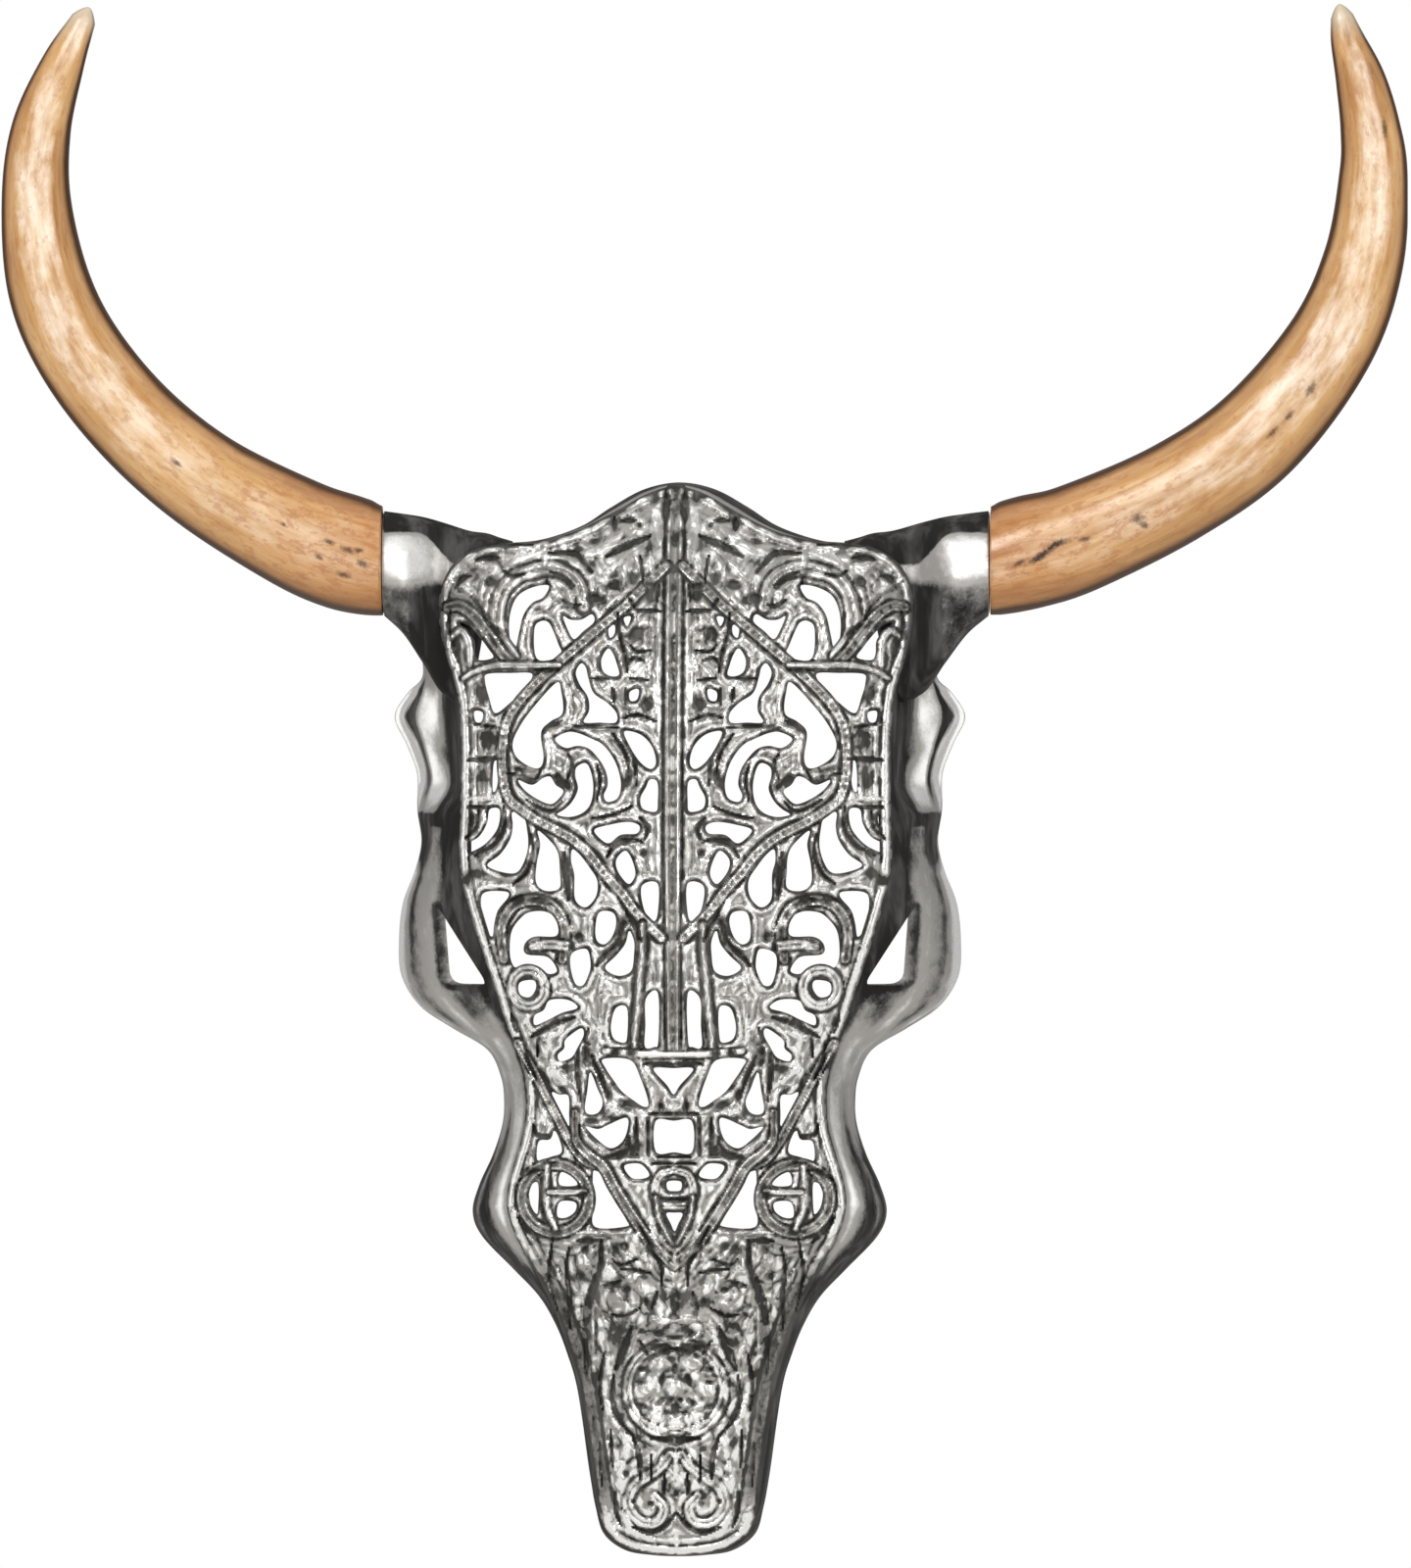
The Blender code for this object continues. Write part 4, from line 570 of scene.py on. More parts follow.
# Small knobs and pits: place, half size across and along, height, turn in degrees
SPOTS = tuple(Spot(-left, -down, *more) for left, down, *more in (
    (13, -3, 3.2, 3.2, 1.4), (13, -3, 1.2, 1.2, -1.8), (44, 21.5, 2.6, 2.6, 1.4),
    (38, 22.5, 2.2, 2.2, 1.4), (67.5, 12.5, 3.4, 2.8, 1.4), (45, 78, 3.4, 3.4, 1.4), (52, 73, 1.8, 1.5),
    (8.5, 21.5, 1.4, 2.9, -2.6, -10), (14.5, 17, 1.1, 2.4, -2.4, -25), (22, 19, 2.6, 1.4, -2.4, 20),
    (30, 24, 1.7, 1.7, -2.4), (26, 25, 1.4, 1.4, -2.2), (13.5, 37, 1.6, 3.8, -2.6, 35),
    (80.5, 42, 1.5, 3.2, -2.6, 10), (71, 58.5, 2.4, 2.2, -2.6), (67.5, 17.5, 1.9, 1.5, -2.4),
    (9, 62.5, 1.9, 2.6, -2.2), (42.5, 89.5, 1.7, 1.6, -2.4), (38.4, 92.5, 1.3, 2, -2.4),
    (68.5, 75.7, 3.6, 4.4, -1.7), (70, 89.7, 3.2, 4.6, -1.7), (72, 124.5, 3, 2, -2),
    (76, 127, 2.2, 3, -2), (56.5, 133.8, 1.8, 1, -2.2), (48.5, 133.8, 2.6, 1, -2.2),
    (34.5, 147.5, 1.9, 1.7, -2.6), (37, 151.5, 1.1, 1.4, -2.2), (15, 118.7, 1.6, 1, -2.2),
    (10.5, 117, 1.2, 1.4, -2.2), (49, 151.5, 1.4, 1.6), (21.3, 190, 1.9, 1.5, -2.8),
    (15.5, 190.3, 1.7, 1.5, -2.8), (39, 195.5, 3, 2, -2.6), (41, 204, 2.2, 1.2, -2.6, -10),
    (30.5, 215, 3.2, 1.6, -2.8, 15), (26, 211.8, 1.3, 2.4, -2.6), (22.2, 214.3, 2.8, 1.2, -2.6),
    (16.5, 208.8, 3.8, 2, -2.8, -10), (24, 205.7, 1.3, 2.4, -2.6), (21.5, 202, 1.8, 1.8, -2.4),
    (44, 230.3, 1.6, 1.3, -2.2), (50.4, 242.5, 1, 1.8, -2.4), (33.5, 242.5, 2, 1.8, -2.2),
    (4.5, 209.5, 1, 2.6, -2.4), (34, 267, 2.4, 3.4), (14.5, 258.8, 1.8, 3.2), (17, 266, 2.0, 2.0),
    (23.5, 271, 2.2, 2.2), (16, 273, 2.8, 1.9, 1.6, 20), (11.7, 277.5, 2, 2.8, 1.6, 20),
    (19.5, 283.3, 3.4, 2.2), (11, 265, 1.8, 2.2), (6.8, 304.5, 3.6, 2.5, 1.6, 25),
    (11.8, 314.5, 3.3, 3.3), (7.6, 323.8, 3.2, 2.4, 1.6, -25), (0, 313.2, 2.7, 3.4), (0, 325.6, 2.7, 2),
    (22, 280, 1.8, 2), (28, 270, 1.4, 2.6), (31, 263.5, 1.4, 2.4), (9, 356.5, 2.2, 2.0),
    (33, 262.3, 1.6, 1.5, -2.4), (34.5, 272.3, 2, 1.5, -2.2), (22, 262, 1.6, 2, -2.4),
    (18.3, 261, 1.7, 1.4, -2.4), (24, 275.6, 2, 1.1, -2.2), (18, 277, 1.5, 1.3, -2.2),
    (22.3, 290.8, 3.2, 2, -2.8, -30), (10.5, 281.5, 1.2, 1.5, -2), (0, 281.5, 1.6, 4.6, -2.6),
    (13, 311.3, 1.8, 0.7, -1.8), (4.8, 310, 1, 2.6, -2.2, -15), (5.8, 318.4, 2.4, 1.1, -2.2, 35),
    (0, 319.8, 1.6, 1, -2), (0, 306.4, 0.9, 2, -2), (12.4, 320, 1.8, 1, -2, -20),
    (0, 332.8, 3, 1.8, -2.8), (9.5, 356.3, 1.5, 1.3, -2.2), (15.7, 355.5, 1, 1, -1.6),
    (18.5, 345.3, 1.6, 1.4, -2, 30), (26.5, 344, 1.7, 1.7, -2.4), (0, 352.5, 0.8, 1.8, -1.8),
    (6, 293.4, 2, 1, -1.8), (3.6, 322.4, 1.2, 0.9, -1.8), (28.8, 24, 2.6, 2, -2.8),
    (21.8, 19, 2.2, 1.6, -2.8), (8.5, 21.5, 1.5, 3.4, -2.8), (13.5, 37, 1.6, 4.4, -2.8, -50),
    (68, 17.8, 1.9, 1.5, -2.6), (78, 16, 2.6, 1.2, -2.4, 20), (69, 9, 3.4, 1, -2.4, -8),
    (15.5, 16, 1.2, 2.4, -2.4, 15), (3.2, -9, 1.6, 4, -2.8), (17, -5, 2.2, 1, -2.4, 20),
    (71, 59, 2, 4.4, -2.8, 10), (10, 62.5, 2, 2, -2.8), (41, 91, 3.2, 1.5, -2.6, -45),
    (55, 86.6, 5, 1.2, -2.4, -8), (16.5, 90, 1.2, 4, -2.2, -15), (19, 144, 1.7, 4.6, -2.8, -35),
    (19.5, 112.8, 5, 1.3, -2.6, 12), (57, 134, 3, 1.3, -2.6, 25), (48, 134, 3.2, 1.5, -2.6),
    (39.3, 123, 1.2, 6, -2.4), (32, 191, 1.3, 6, -2.4, 8), (14.5, 225.5, 3.4, 2, -2.8, 45),
    (66, 35, 1.2, 5, -2.4, 50), (80.5, 41, 1.2, 4, -2.6, 8), (72, 117, 3, 1.4, -2.4, 30),
    (47, 200, 1, 5, -2.2, 25), (24.7, 287.4, 2.2, 1.3, -2.6, -40), (12.2, 306.4, 2, 1, -2.4),
    (1.6, 317.6, 1.5, 0.9, -2, 25), (7.5, -13.5, 1.5, 3, -2.6), (3, -12, 1.6, 2.4, -2.6),
    (30, 3, 2.6, 1, -2, 10), (8.5, 21.5, 1.7, 3.2, -2.8, 10), (22.5, -4, 1, 3.4, -2.4),
))


@dataclass
class Relief:
    """The carved front: where there is metal, how high it stands, and how bright it is, by wear and patina
    and by painted light and shade.

    Its fields are heights, lengths and spans in millimetres, and shares of full brightness.
    """

    valley: float = 2.6
    reach: float = 3.5
    widened: float = -0.15
    lowest: float = -1.1
    # The plain metal between windows and bands, dark at its edges by patina and painted shade, and the lip
    # along its edges, bright by wear and a painted highlight
    plain_height: float = 1.5
    plain_shade: float = 0.6
    edge_slope: float = 2.3
    solid_span: Span = (0.2, 0.8)
    lip: float = 1.6
    lip_line: Line = (0.7, 1.6, 0.9)
    lip_shade: float = 0.5
    lip_spread: float = 0.75
    lip_wave: float = 0.4
    # The slow unevenness of lips, lines and veins
    uneven: float = 0.42
    sway_pace: float = 1.7
    dark_line: float = 0.9
    dark_wave: float = 0.45
    dark_span: Span = (0.2, 1.9)
    band_edge: float = 1.1
    vein_pitch: float = 2.8
    vein_bend: float = 1.6
    vein_span: Span = (1.5, 4.5)
    vein_start: Span = (0.3, 1.2)
    vein_height: float = 0.4
    vein_shade: float = 0.22
    # Crown and nose: spans of z where they begin and end, how plain and wavy they are, and how wide and dark
    # their painted shadow along the rim is
    crown_start: Span = (-26, -12)
    nose_start: Span = (258, 285)
    nose_end: Span = (350, 366)
    broad_plain: float = 0.45
    broad_wave: float = 0.3
    crown_plain: float = 0.35
    crown_dark: Span = (0, 1)
    nose_carving: float = 0.4
    nose_dark: Span = (0.6, 2)
    deep: float = 0.4
    # The nose's flanks, this wide, with a line of painted shade where they meet the top
    flank: float = 5.5
    flank_blend: float = 1.2
    flank_plain: float = 0.8
    flank_shade: float = 0.24
    flank_vein: float = 0.14
    flank_line: Line = (0.8, 6.5, 0.6)
    # Share of their height that crests and knobs add, and how sharply a pit ends
    raised: float = 0.8
    pit_edge: float = 1.2
    # Brightness down the front: z and share
    tones: tuple[Place, ...] = (
        (25, 0.66), (-20, 0.72), (-50, 0.85), (-110, 0.9), (-150, 0.94), (-250, 1.03), (-265, 0.72),
        (-298, 0.7), (-312, 0.84), (-345, 1.02), (-380, 1.15))

    def __post_init__(self) -> None:
        """Gathers the outline, the border that follows it, the bands and the windows."""
        edges, _ = outline_rings()
        self.outline = curve_through(edges, 8, closed=True)
        inset = self.outline + ring_normals(self.outline) * BORDER_INSET
        self.border = Stroke(Form.ROUND, BORDER_WIDTH, inset[::4], BORDER_HEIGHT, ring=True)
        self.windows = [curve_through(face_places(window), 5, closed=True) for window in WINDOWS]

    def zones(self, at: Array, gap: Array) -> tuple[Array, Array, Array, Array]:
        """Finds the crown, the nose, the nose's flanks and the shadow along the rim.

        Args:
            at: Flat places.
            gap: Signed distance to the outline, below zero inside.

        Returns:
            How far each place belongs to each of the four, from 0 to 1.
        """
        z = at[:, 1]
        crown = smooth_step(z, *self.crown_start)
        nose = smooth_step(-z, *self.nose_start) * (1 - smooth_step(-z, *self.nose_end))
        flank = nose * (1 - smooth_step(-gap, self.flank, self.flank + self.flank_blend))
        shadow = (crown * (1 - smooth_step(-gap, *self.crown_dark))
                  + nose * (1 - smooth_step(-gap, *self.nose_dark)))
        height, middle, spread = self.flank_line
        return crown, nose, flank, shadow + height * nose * bell(-gap, middle, spread)

    def measure(self, at: Array) -> tuple[Array, Array, Array, Array]:
        """Works out the front at flat places of the left half.

        Height and brightness rise from an edge as a quarter circle, sqrt(1 - (1 - d / slope)^2).
        Bands, crests and knobs, grooves and pits are laid over it.

        Args:
            at: Flat places (x, z) with x at or below zero.

        Returns:
            Signed distance to the metal's edge, height over the valley, brightness, and leaf carving.
        """
        gap = polygon_gap(self.outline, at)
        crown, nose, flank, shadow = self.zones(at, gap)
        for window in self.windows:
            near = near_box(window, self.reach, at)
            if near.any():
                gap[near] = np.maximum(gap[near], self.widened - polygon_gap(window, at[near]))
        slow, thick = self.sway(at), self.sway(self.sway_pace * at)
        inner = np.clip(-gap / self.edge_slope, 0, 1)
        height = self.plain_height * np.sqrt(1 - (1 - inner)**2) + laid(-gap, self.lip_line)
        # Patina and painted shade blacken the metal's edges; the lip beside them gets wear and a painted
        # highlight
        solid = smooth_step((self.uneven * thick - gap) / self.edge_slope, *self.solid_span)
        lip = bell(-gap, self.lip - 0.5 * self.uneven * thick, self.lip_spread)
        shade = self.plain_shade * solid + self.lip_shade * (1 + self.lip_wave * slow) * lip
        room = self.lay_bands(at, (crown, nose, thick), gap, height, shade)
        broad = np.maximum(crown, nose)
        veins = self.veins(at, room) * smooth_step(room, *self.vein_start) * (1 - self.broad_plain * broad)
        shade *= 1 + self.broad_wave * broad * thick
        height += self.vein_height * veins
        shade += self.vein_shade * veins
        self.lay_crests(at, solid, height, shade)
        shade = shade * (1 - flank) + flank * (self.flank_shade + self.flank_vein * veins)
        heights, tones = zip(*self.tones[::-1])
        shade = shade * np.interp(at[:, 1], heights, tones) * (1 - shadow) - self.deep * shadow
        carving = (1 + self.nose_carving * nose - self.crown_plain * crown) * (1 - self.flank_plain * flank)
        return gap, np.maximum(height, self.lowest), shade, carving

    @staticmethod
    def sway(at: Array) -> Array:
        """Gives a slow wave from -2 to 2: sin(0.42 x + 1.3 sin 0.21 z) + sin(0.37 z + 1.7 sin 0.29 x)."""
        x, z = at.T
        return np.sin(0.42 * x + 1.3 * np.sin(0.21 * z)) + np.sin(0.37 * z + 1.7 * np.sin(0.29 * x))

    def veins(self, at: Array, room: Array) -> Array:
        """Gives veins along the nearest edge: cos(2 pi (room - lip) / pitch + bend)."""
        phase = 2 * math.pi * (room - self.lip) / self.vein_pitch
        return np.cos(phase + self.vein_bend * self.sway(at) * smooth_step(room, *self.vein_span))

    def lay_bands(self, at: Array, zones: tuple[Array, Array, Array], gap: Array, height: Array,
                  shade: Array) -> Array:
        """Lays the border and the bands over the plate, each with a dark line of patina and painted shade
        beside it, in place.

        Args:
            at: Flat places.
            zones: How far each belongs to crown and nose, and the sway that widens the dark lines.
            gap: Signed distance to the metal's edge; height and shade are changed.

        Returns:
            The distance to the nearest edge of a window or a band.
        """
        crown, nose, thick = zones
        room = -gap
        line = np.clip(self.dark_line + self.dark_wave * thick, *self.dark_span)
        for band in (self.border, *BANDS.values()):
            near = band.near(at, self.reach)
            if not near.any():
                continue
            away, section = band.measure(at[near])
            gap[near] = np.minimum(gap[near], away)
            room[near] = np.minimum(room[near], np.maximum(away, 0))
            height[near] = np.where(away < 0, section * band.height, height[near])
            shown = (1 - crown[near]) * (1 - nose[near]) if band is self.border else 1.0
            on_band = section * smooth_step(-away, 0, self.band_edge) * shown + shade[near] * (1 - shown)
            beside = shade[near] * (1 - shown * (1 - smooth_step(away / line[near], 0, 1)))
            shade[near] = np.where(away < 0, on_band, beside)
        return room

    def lay_crests(self, at: Array, solid: Array, height: Array, shade: Array) -> None:
        """Raises and brightens the crests and knobs, then cuts and blackens the grooves and pits, in place.

        Args:
            at: Flat places.
            solid: 1 on solid metal, 0 at an edge; height and shade are changed.
        """
        for crest in CRESTS:
            near = crest.near(at, self.reach)
            if near.any():
                section = crest.measure(at[near])[1] * solid[near]
                height[near] += crest.height * self.raised * section
                shade[near] += (1 - shade[near]) * section
        for knob in (spot for spot in SPOTS if spot.height > 0):
            dome = np.sqrt(np.clip(1 - knob.measure(at)**2, 0, 1))
            height += knob.height * self.raised * dome
            shade += (1 - shade) * dome
        for groove in GROOVES:
            near = groove.near(at, self.reach)
            if near.any():
                section = groove.measure(at[near])[1]
                height[near] -= groove.height * section
                shade[near] *= 1 - section
        for pit in (spot for spot in SPOTS if spot.height < 0):
            dip = np.exp(-self.pit_edge * pit.measure(at)**3)
            height += pit.height * dip
            shade *= 1 - dip


def put_in_scene(name: str, data: bpy.types.ID) -> bpy.types.Object:
    """Makes an object and links it to the scene.

    Args:
        name: The object's name.
        data: Its mesh, lamp or camera.

    Returns:
        The new object.
    """
    made = bpy.data.objects.new(name, data)
    bpy.context.scene.collection.objects.link(made)
    return made


@dataclass
class Surface:
    """Vertices in millimetres, faces and what is stored with each vertex."""

    vertices: Array
    faces: list[list[int]]
    shade: Array
    grain: Optional[Array] = None
    carving: Optional[Array] = None

    def volume(self) -> float:
        """Gives the signed volume of the closed surface.

        Returns:
            The sum of its faces' pyramids, above zero when they face outwards.
        """
        quads = np.array([face if len(face) == 4 else [*face, face[-1]] for face in self.faces])
        a, b, c, d = (self.vertices[quads[:, k]] for k in range(4))
        both = np.einsum("ij,ij->i", a, np.cross(b, c)) + np.einsum("ij,ij->i", a, np.cross(c, d))
        return float(both.sum()) / 6

    def build(self, name: str, sharp: float = 50.0) -> bpy.types.Object:
        """Makes the object with its place in its mesh, its faces outwards and its values as attributes.

        Args:
            name: The piece's name.
            sharp: Angle in degrees past which an edge stays sharp.

        Returns:
            The new object.
        """
        faces = self.faces if self.volume() > 0 else [face[::-1] for face in self.faces]
        mesh = bpy.data.meshes.new(name)
        mesh.from_pydata((self.vertices * MM).tolist(), [], faces)
        numbers = {"relief": np.clip(self.shade, -0.5, 1.1), "carving": self.carving}
        if self.grain is not None:
            grain = mesh.attributes.new("grain", 'FLOAT_VECTOR', 'POINT')
            grain.data.foreach_set("vector", (self.grain * MM).astype(np.float32).ravel())
        for title, values in numbers.items():
            if values is not None:
                layer = mesh.attributes.new(title, 'FLOAT', 'POINT')
                layer.data.foreach_set("value", values.astype(np.float32))
        mesh.shade_smooth()
        mesh.set_sharp_from_angle(angle=math.radians(sharp))
        return put_in_scene(name, mesh)


def sample_grid(grid: Array, at: Array) -> Array:
    """Reads a grid of values between its nodes, linear both ways.

    Args:
        grid: Values, shape (rows, columns, parts).
        at: Places in steps of the grid.

    Returns:
        The values there.
    """
    last = np.array(grid.shape[:2]) - 1
    place = np.clip(at, 0, last)
    low = np.minimum(place.astype(int), last - 1)
    u, v = (place - low).T[:, :, None]
    i, j = low.T
    return ((1 - u) * ((1 - v) * grid[i, j] + v * grid[i, j + 1])
            + u * ((1 - v) * grid[i + 1, j] + v * grid[i + 1, j + 1]))


# How far a rim corner slides, in cells, in how many steps, and the least slope that it divides by
SLIDE_REACH, SLIDE_STEPS, LEAST_SLOPE = 0.75, 4, 1e-4
CORNER_PASSES = 4


def corner_count(cells: Array, closed: bool) -> Array:
    """Counts the cells that meet at each corner.

    Args:
        cells: True for each cell that counts.
        closed: Whether the last row of corners lies on the first.

    Returns:
        The count at each corner.
    """
    rows, columns = cells.shape
    count = np.zeros((rows + 1, columns + 1), dtype=int)
    for di in (0, 1):
        for dj in (0, 1):
            count[di:rows + di, dj:columns + dj] += cells
    if closed:
        count[0] += count[-1]
        count[-1] = count[0]
    return count


def slid_places(gap: Array, start: Array) -> Array:
    """Slides places along the gap's slope until the gap is zero: each step goes back by gap / slope.

    Args:
        gap: Signed distance on a grid.
        start: Grid places (row, column) to slide.

    Returns:
        Where they come to rest; a place on the grid's border stays on it.
    """
    last = np.array(gap.shape) - 1
    free = (start > 0) & (start < last)
    field = np.dstack([gap, *np.gradient(gap)])
    place = start.copy()
    for _ in range(SLIDE_STEPS):
        here = sample_grid(field, place)
        slope = here[:, 1:] * free
        steepness = np.maximum((slope**2).sum(axis=1), LEAST_SLOPE)
        place -= slope * (here[:, :1] / steepness[:, None])
        place = start + np.clip(place - start, -SLIDE_REACH, SLIDE_REACH)
    return place


def slab_quads(kept: Array, number: Array, count: int, closed: bool) -> Array:
    """Gives the front, the back and the walls round the kept cells.

    Args:
        kept: True for each kept cell.
        number: The front vertex at each corner; count more is the back one.
        count: How many front vertices there are.
        closed: Whether the last row of corners lies on the first.

    Returns:
        The vertex numbers of each face.
    """
    i, j = np.nonzero(kept)
    top = np.column_stack([number[i, j], number[i + 1, j], number[i + 1, j + 1], number[i, j + 1]])
    quads = [top, top[:, ::-1] + count]
    wide = np.pad(kept, ((0, 0), (1, 1)))
    tall = np.vstack([kept[-1:], kept, kept[:1]]) if closed else np.pad(kept, ((1, 1), (0, 0)))
    last = -1 if closed else None
    across, along = ((1, 0), (0, 0)), ((0, 0), (0, 1))
    walls = ((wide[:, 1:] & ~wide[:, :-1], across, 1), (wide[:, :-1] & ~wide[:, 1:], across, -1),
             ((tall[1:] & ~tall[:-1])[:last], along, 1), ((tall[:-1] & ~tall[1:])[:last], along, -1))
    for standing, (start, end), turn in walls:
        i, j = np.nonzero(standing)
        pair = np.column_stack([number[i + di, j + dj] for di, dj in (start, end)])[:, ::turn]
        quads.append(np.column_stack([pair, pair[:, ::-1] + count]))
    return np.vstack(quads)


def open_slab(gap: Array, front: Array, back: Array, shade: Array, back_shade: float, closed: bool = False,
              carving: Optional[Array] = None) -> Surface:
    """Makes a closed plate with openings from two surfaces over one grid.

    A cell is kept where the mean of its corners' gaps is below zero, or kept ones would touch at a corner
    only. Corners on the rim slide until the gap is zero, and the rim is walled from front to back.

    Args:
        gap: Signed distance to the material's edge, shape (rows, columns).
        front: Places of the front surface, shape (rows, columns, 3); back has the same shape.
        shade: Brightness of the front; back_shade is that of the whole back.
        closed: Whether the last row lies on the first.
        carving: How strongly the front is carved; the back is plain.

    Returns:
        The closed surface.
    """
    kept = (gap[:-1, :-1] + gap[1:, :-1] + gap[:-1, 1:] + gap[1:, 1:]) < 0
    for _ in range(CORNER_PASSES):
        a, b, c, d = kept[:-1, :-1], kept[:-1, 1:], kept[1:, :-1], kept[1:, 1:]
        crossing = (a & d & ~b & ~c) | (b & c & ~a & ~d)
        for part in (a, b, c, d):
            part |= crossing
    met = corner_count(kept, closed)
    own = met > 0
    start = np.argwhere(own & (met < corner_count(np.ones_like(kept), closed))).astype(float)
    place = slid_places(gap, start)
    front, back, shade = front.copy(), back.copy(), shade.copy()
    i, j = start.astype(int).T
    front[i, j], back[i, j] = sample_grid(front, place), sample_grid(back, place)
    shade[i, j] = sample_grid(shade[:, :, None], place)[:, 0]
    if closed:
        own[-1] = False
    number = np.full(gap.shape, -1)
    count = int(own.sum())
    number[own] = np.arange(count)
    if closed:
        number[-1] = number[0]
    quads = slab_quads(kept, number, count, closed)
    tone = np.concatenate([shade[own], np.full(count, back_shade)])
    cut = None if carving is None else np.concatenate([carving[own], np.zeros(count)])
    return Surface(np.vstack([front[own], back[own]]), quads.tolist(), tone, carving=cut)


def skinned_rings(rings: Array, shade: Array, closed: bool = False) -> Surface:
    """Joins equal rings of points with quads; open ends get a pole in their middle.

    Args:
        rings: Places, shape (rings, sides, 3).
        shade: Brightness, shape (rings, sides).
        closed: Whether the last ring leads back to the first.

    Returns:
        The closed surface.
    """
    count, sides = rings.shape[:2]
    number = np.arange(count * sides).reshape(count, sides)
    after = np.roll(number, -1, axis=0) if closed else number[1:]
    before = number if closed else number[:-1]
    quads = np.stack([before, np.roll(before, -1, axis=1), np.roll(after, -1, axis=1), after], axis=-1)
    faces = quads.reshape(-1, 4).tolist()
    vertices, tone = rings.reshape(-1, 3), shade.ravel()
    if not closed:
        poles = np.array([rings[0].mean(axis=0), rings[-1].mean(axis=0)])
        vertices = np.vstack([vertices, poles])
        tone = np.concatenate([tone, [shade[0].mean(), shade[-1].mean()]])
        first, last = number[0], number[-1]
        pole = count * sides
        faces += np.column_stack([np.roll(first, -1), first, np.full(sides, pole)]).tolist()
        faces += np.column_stack([last, np.roll(last, -1), np.full(sides, pole + 1)]).tolist()
    return Surface(vertices, faces, tone)


class Wire:
    """A node's output. An operator on it adds the Math node for that operator."""

    def __init__(self, board: "Board", socket: bpy.types.NodeSocket) -> None:
        """Keeps the node tree and the socket."""
        self.board = board
        self.socket = socket

    def __add__(self, other: Value) -> "Wire":
        """Adds a value."""
        return self.board.maths('ADD', self, other)

    __radd__ = __add__

    def __sub__(self, other: Value) -> "Wire":
        """Takes a value away."""
        return self.board.maths('SUBTRACT', self, other)

    def __rsub__(self, other: Value) -> "Wire":
        """Takes this from a value."""
        return self.board.maths('SUBTRACT', other, self)

    def __mul__(self, other: Value) -> "Wire":
        """Multiplies by a value."""
        return self.board.maths('MULTIPLY', self, other)

    __rmul__ = __mul__


class Board:
    """A node tree with one way of adding any node."""

    def __init__(self, tree: bpy.types.NodeTree) -> None:
        """Keeps the node tree."""
        self.tree = tree

    def coat(self, shader: bpy.types.Node, **values: Value) -> None:
        """Feeds a shader's sockets; a socket's name is written with low lines for spaces."""
        for name, value in values.items():
            self.feed(shader.inputs[name.replace("_", " ")], value)

    def feed(self, socket: bpy.types.NodeSocket, value: Value) -> None:
        """Links an output to a socket, or sets the socket's own value.

        Args:
            socket: The socket.
            value: The output or the value.
        """
        if isinstance(value, Wire):
            self.tree.links.new(value.socket, socket)
        else:
            socket.default_value = value

    def node(self, kind: str, settings: Optional[dict] = None, inputs: Optional[dict] = None,
             output: Union[int, str] = 0) -> Wire:
        """Adds a node.

        Args:
            kind: The node's type.
            settings: Its own settings; "stops" are a colour ramp's (place, colour) pairs.
            inputs: What its sockets get, by name or number.
            output: The output to give back.

        Returns:
            The wire from it.
        """
        made = self.tree.nodes.new(kind)
        for name, value in (settings or {}).items():
            if name == "stops":
                ramp = made.color_ramp.elements
                while len(ramp) < len(value):
                    ramp.new(0.5)
                for stop, (place, colour) in zip(ramp, value):
                    stop.position = place
                    stop.color = colour
            else:
                setattr(made, name, value)
        for name, value in (inputs or {}).items():
            self.feed(made.inputs[name], value)
        return Wire(self, made.outputs[output])

    def maths(self, operation: str, first: Value, second: Value) -> Wire:
        """Adds a Math node."""
        return self.node("ShaderNodeMath", {"operation": operation}, {0: first, 1: second})

    def step(self, value: Wire, low: float, high: float, start: float = 0.0, end: float = 1.0) -> Wire:
        """Goes smoothly from start to end as the value goes from low to high."""
        return self.node("ShaderNodeMapRange", {"interpolation_type": 'SMOOTHSTEP'},
                         {"Value": value, "From Min": low, "From Max": high, "To Min": start, "To Max": end})

    def blend(self, factor: Value, first: Value, second: Value) -> Wire:
        """Mixes two colours."""
        return self.node("ShaderNodeMix", {"data_type": 'RGBA'}, {0: factor, 6: first, 7: second}, 2)

    def noise(self, place: Wire, scale: float, detail: float = 3.0, rough: float = 0.5, bend: float = 0.0,
              along: float = 1.0, output: Union[int, str] = 0) -> Wire:
        """Adds a noise texture on a place, drawn out along Z where along is less than 1."""
        drawn = place if along == 1.0 else self.stretched(place, (1, 1, along))
        return self.node("ShaderNodeTexNoise", None, {"Vector": drawn, "Scale": scale, "Detail": detail,
                                                      "Roughness": rough, "Distortion": bend}, output)

    def stretched(self, place: Wire, scale: Place) -> Wire:
        """Scales a place, one factor for each direction."""
        return self.node("ShaderNodeMapping", None, {"Vector": place, "Scale": scale})

    def place(self) -> Wire:
        """Gives the place on the object."""
        return self.node("ShaderNodeTexCoord", output="Object")

    def stored(self, name: str, output: str = "Fac") -> Wire:
        """Reads an attribute that is stored with the vertices."""
        return self.node("ShaderNodeAttribute", {"attribute_name": name}, output=output)

    def part(self, vector: Wire, direction: str) -> Wire:
        """Gives one part of a vector: X, Y or Z."""
        return self.node("ShaderNodeSeparateXYZ", None, {0: vector}, direction)

    def bump(self, strength: float, height: Wire) -> Wire:
        """Turns a height into a bumped normal, over half a millimetre."""
        return self.node("ShaderNodeBump", None,
                         {"Strength": strength, "Distance": 0.0005, "Height": height})


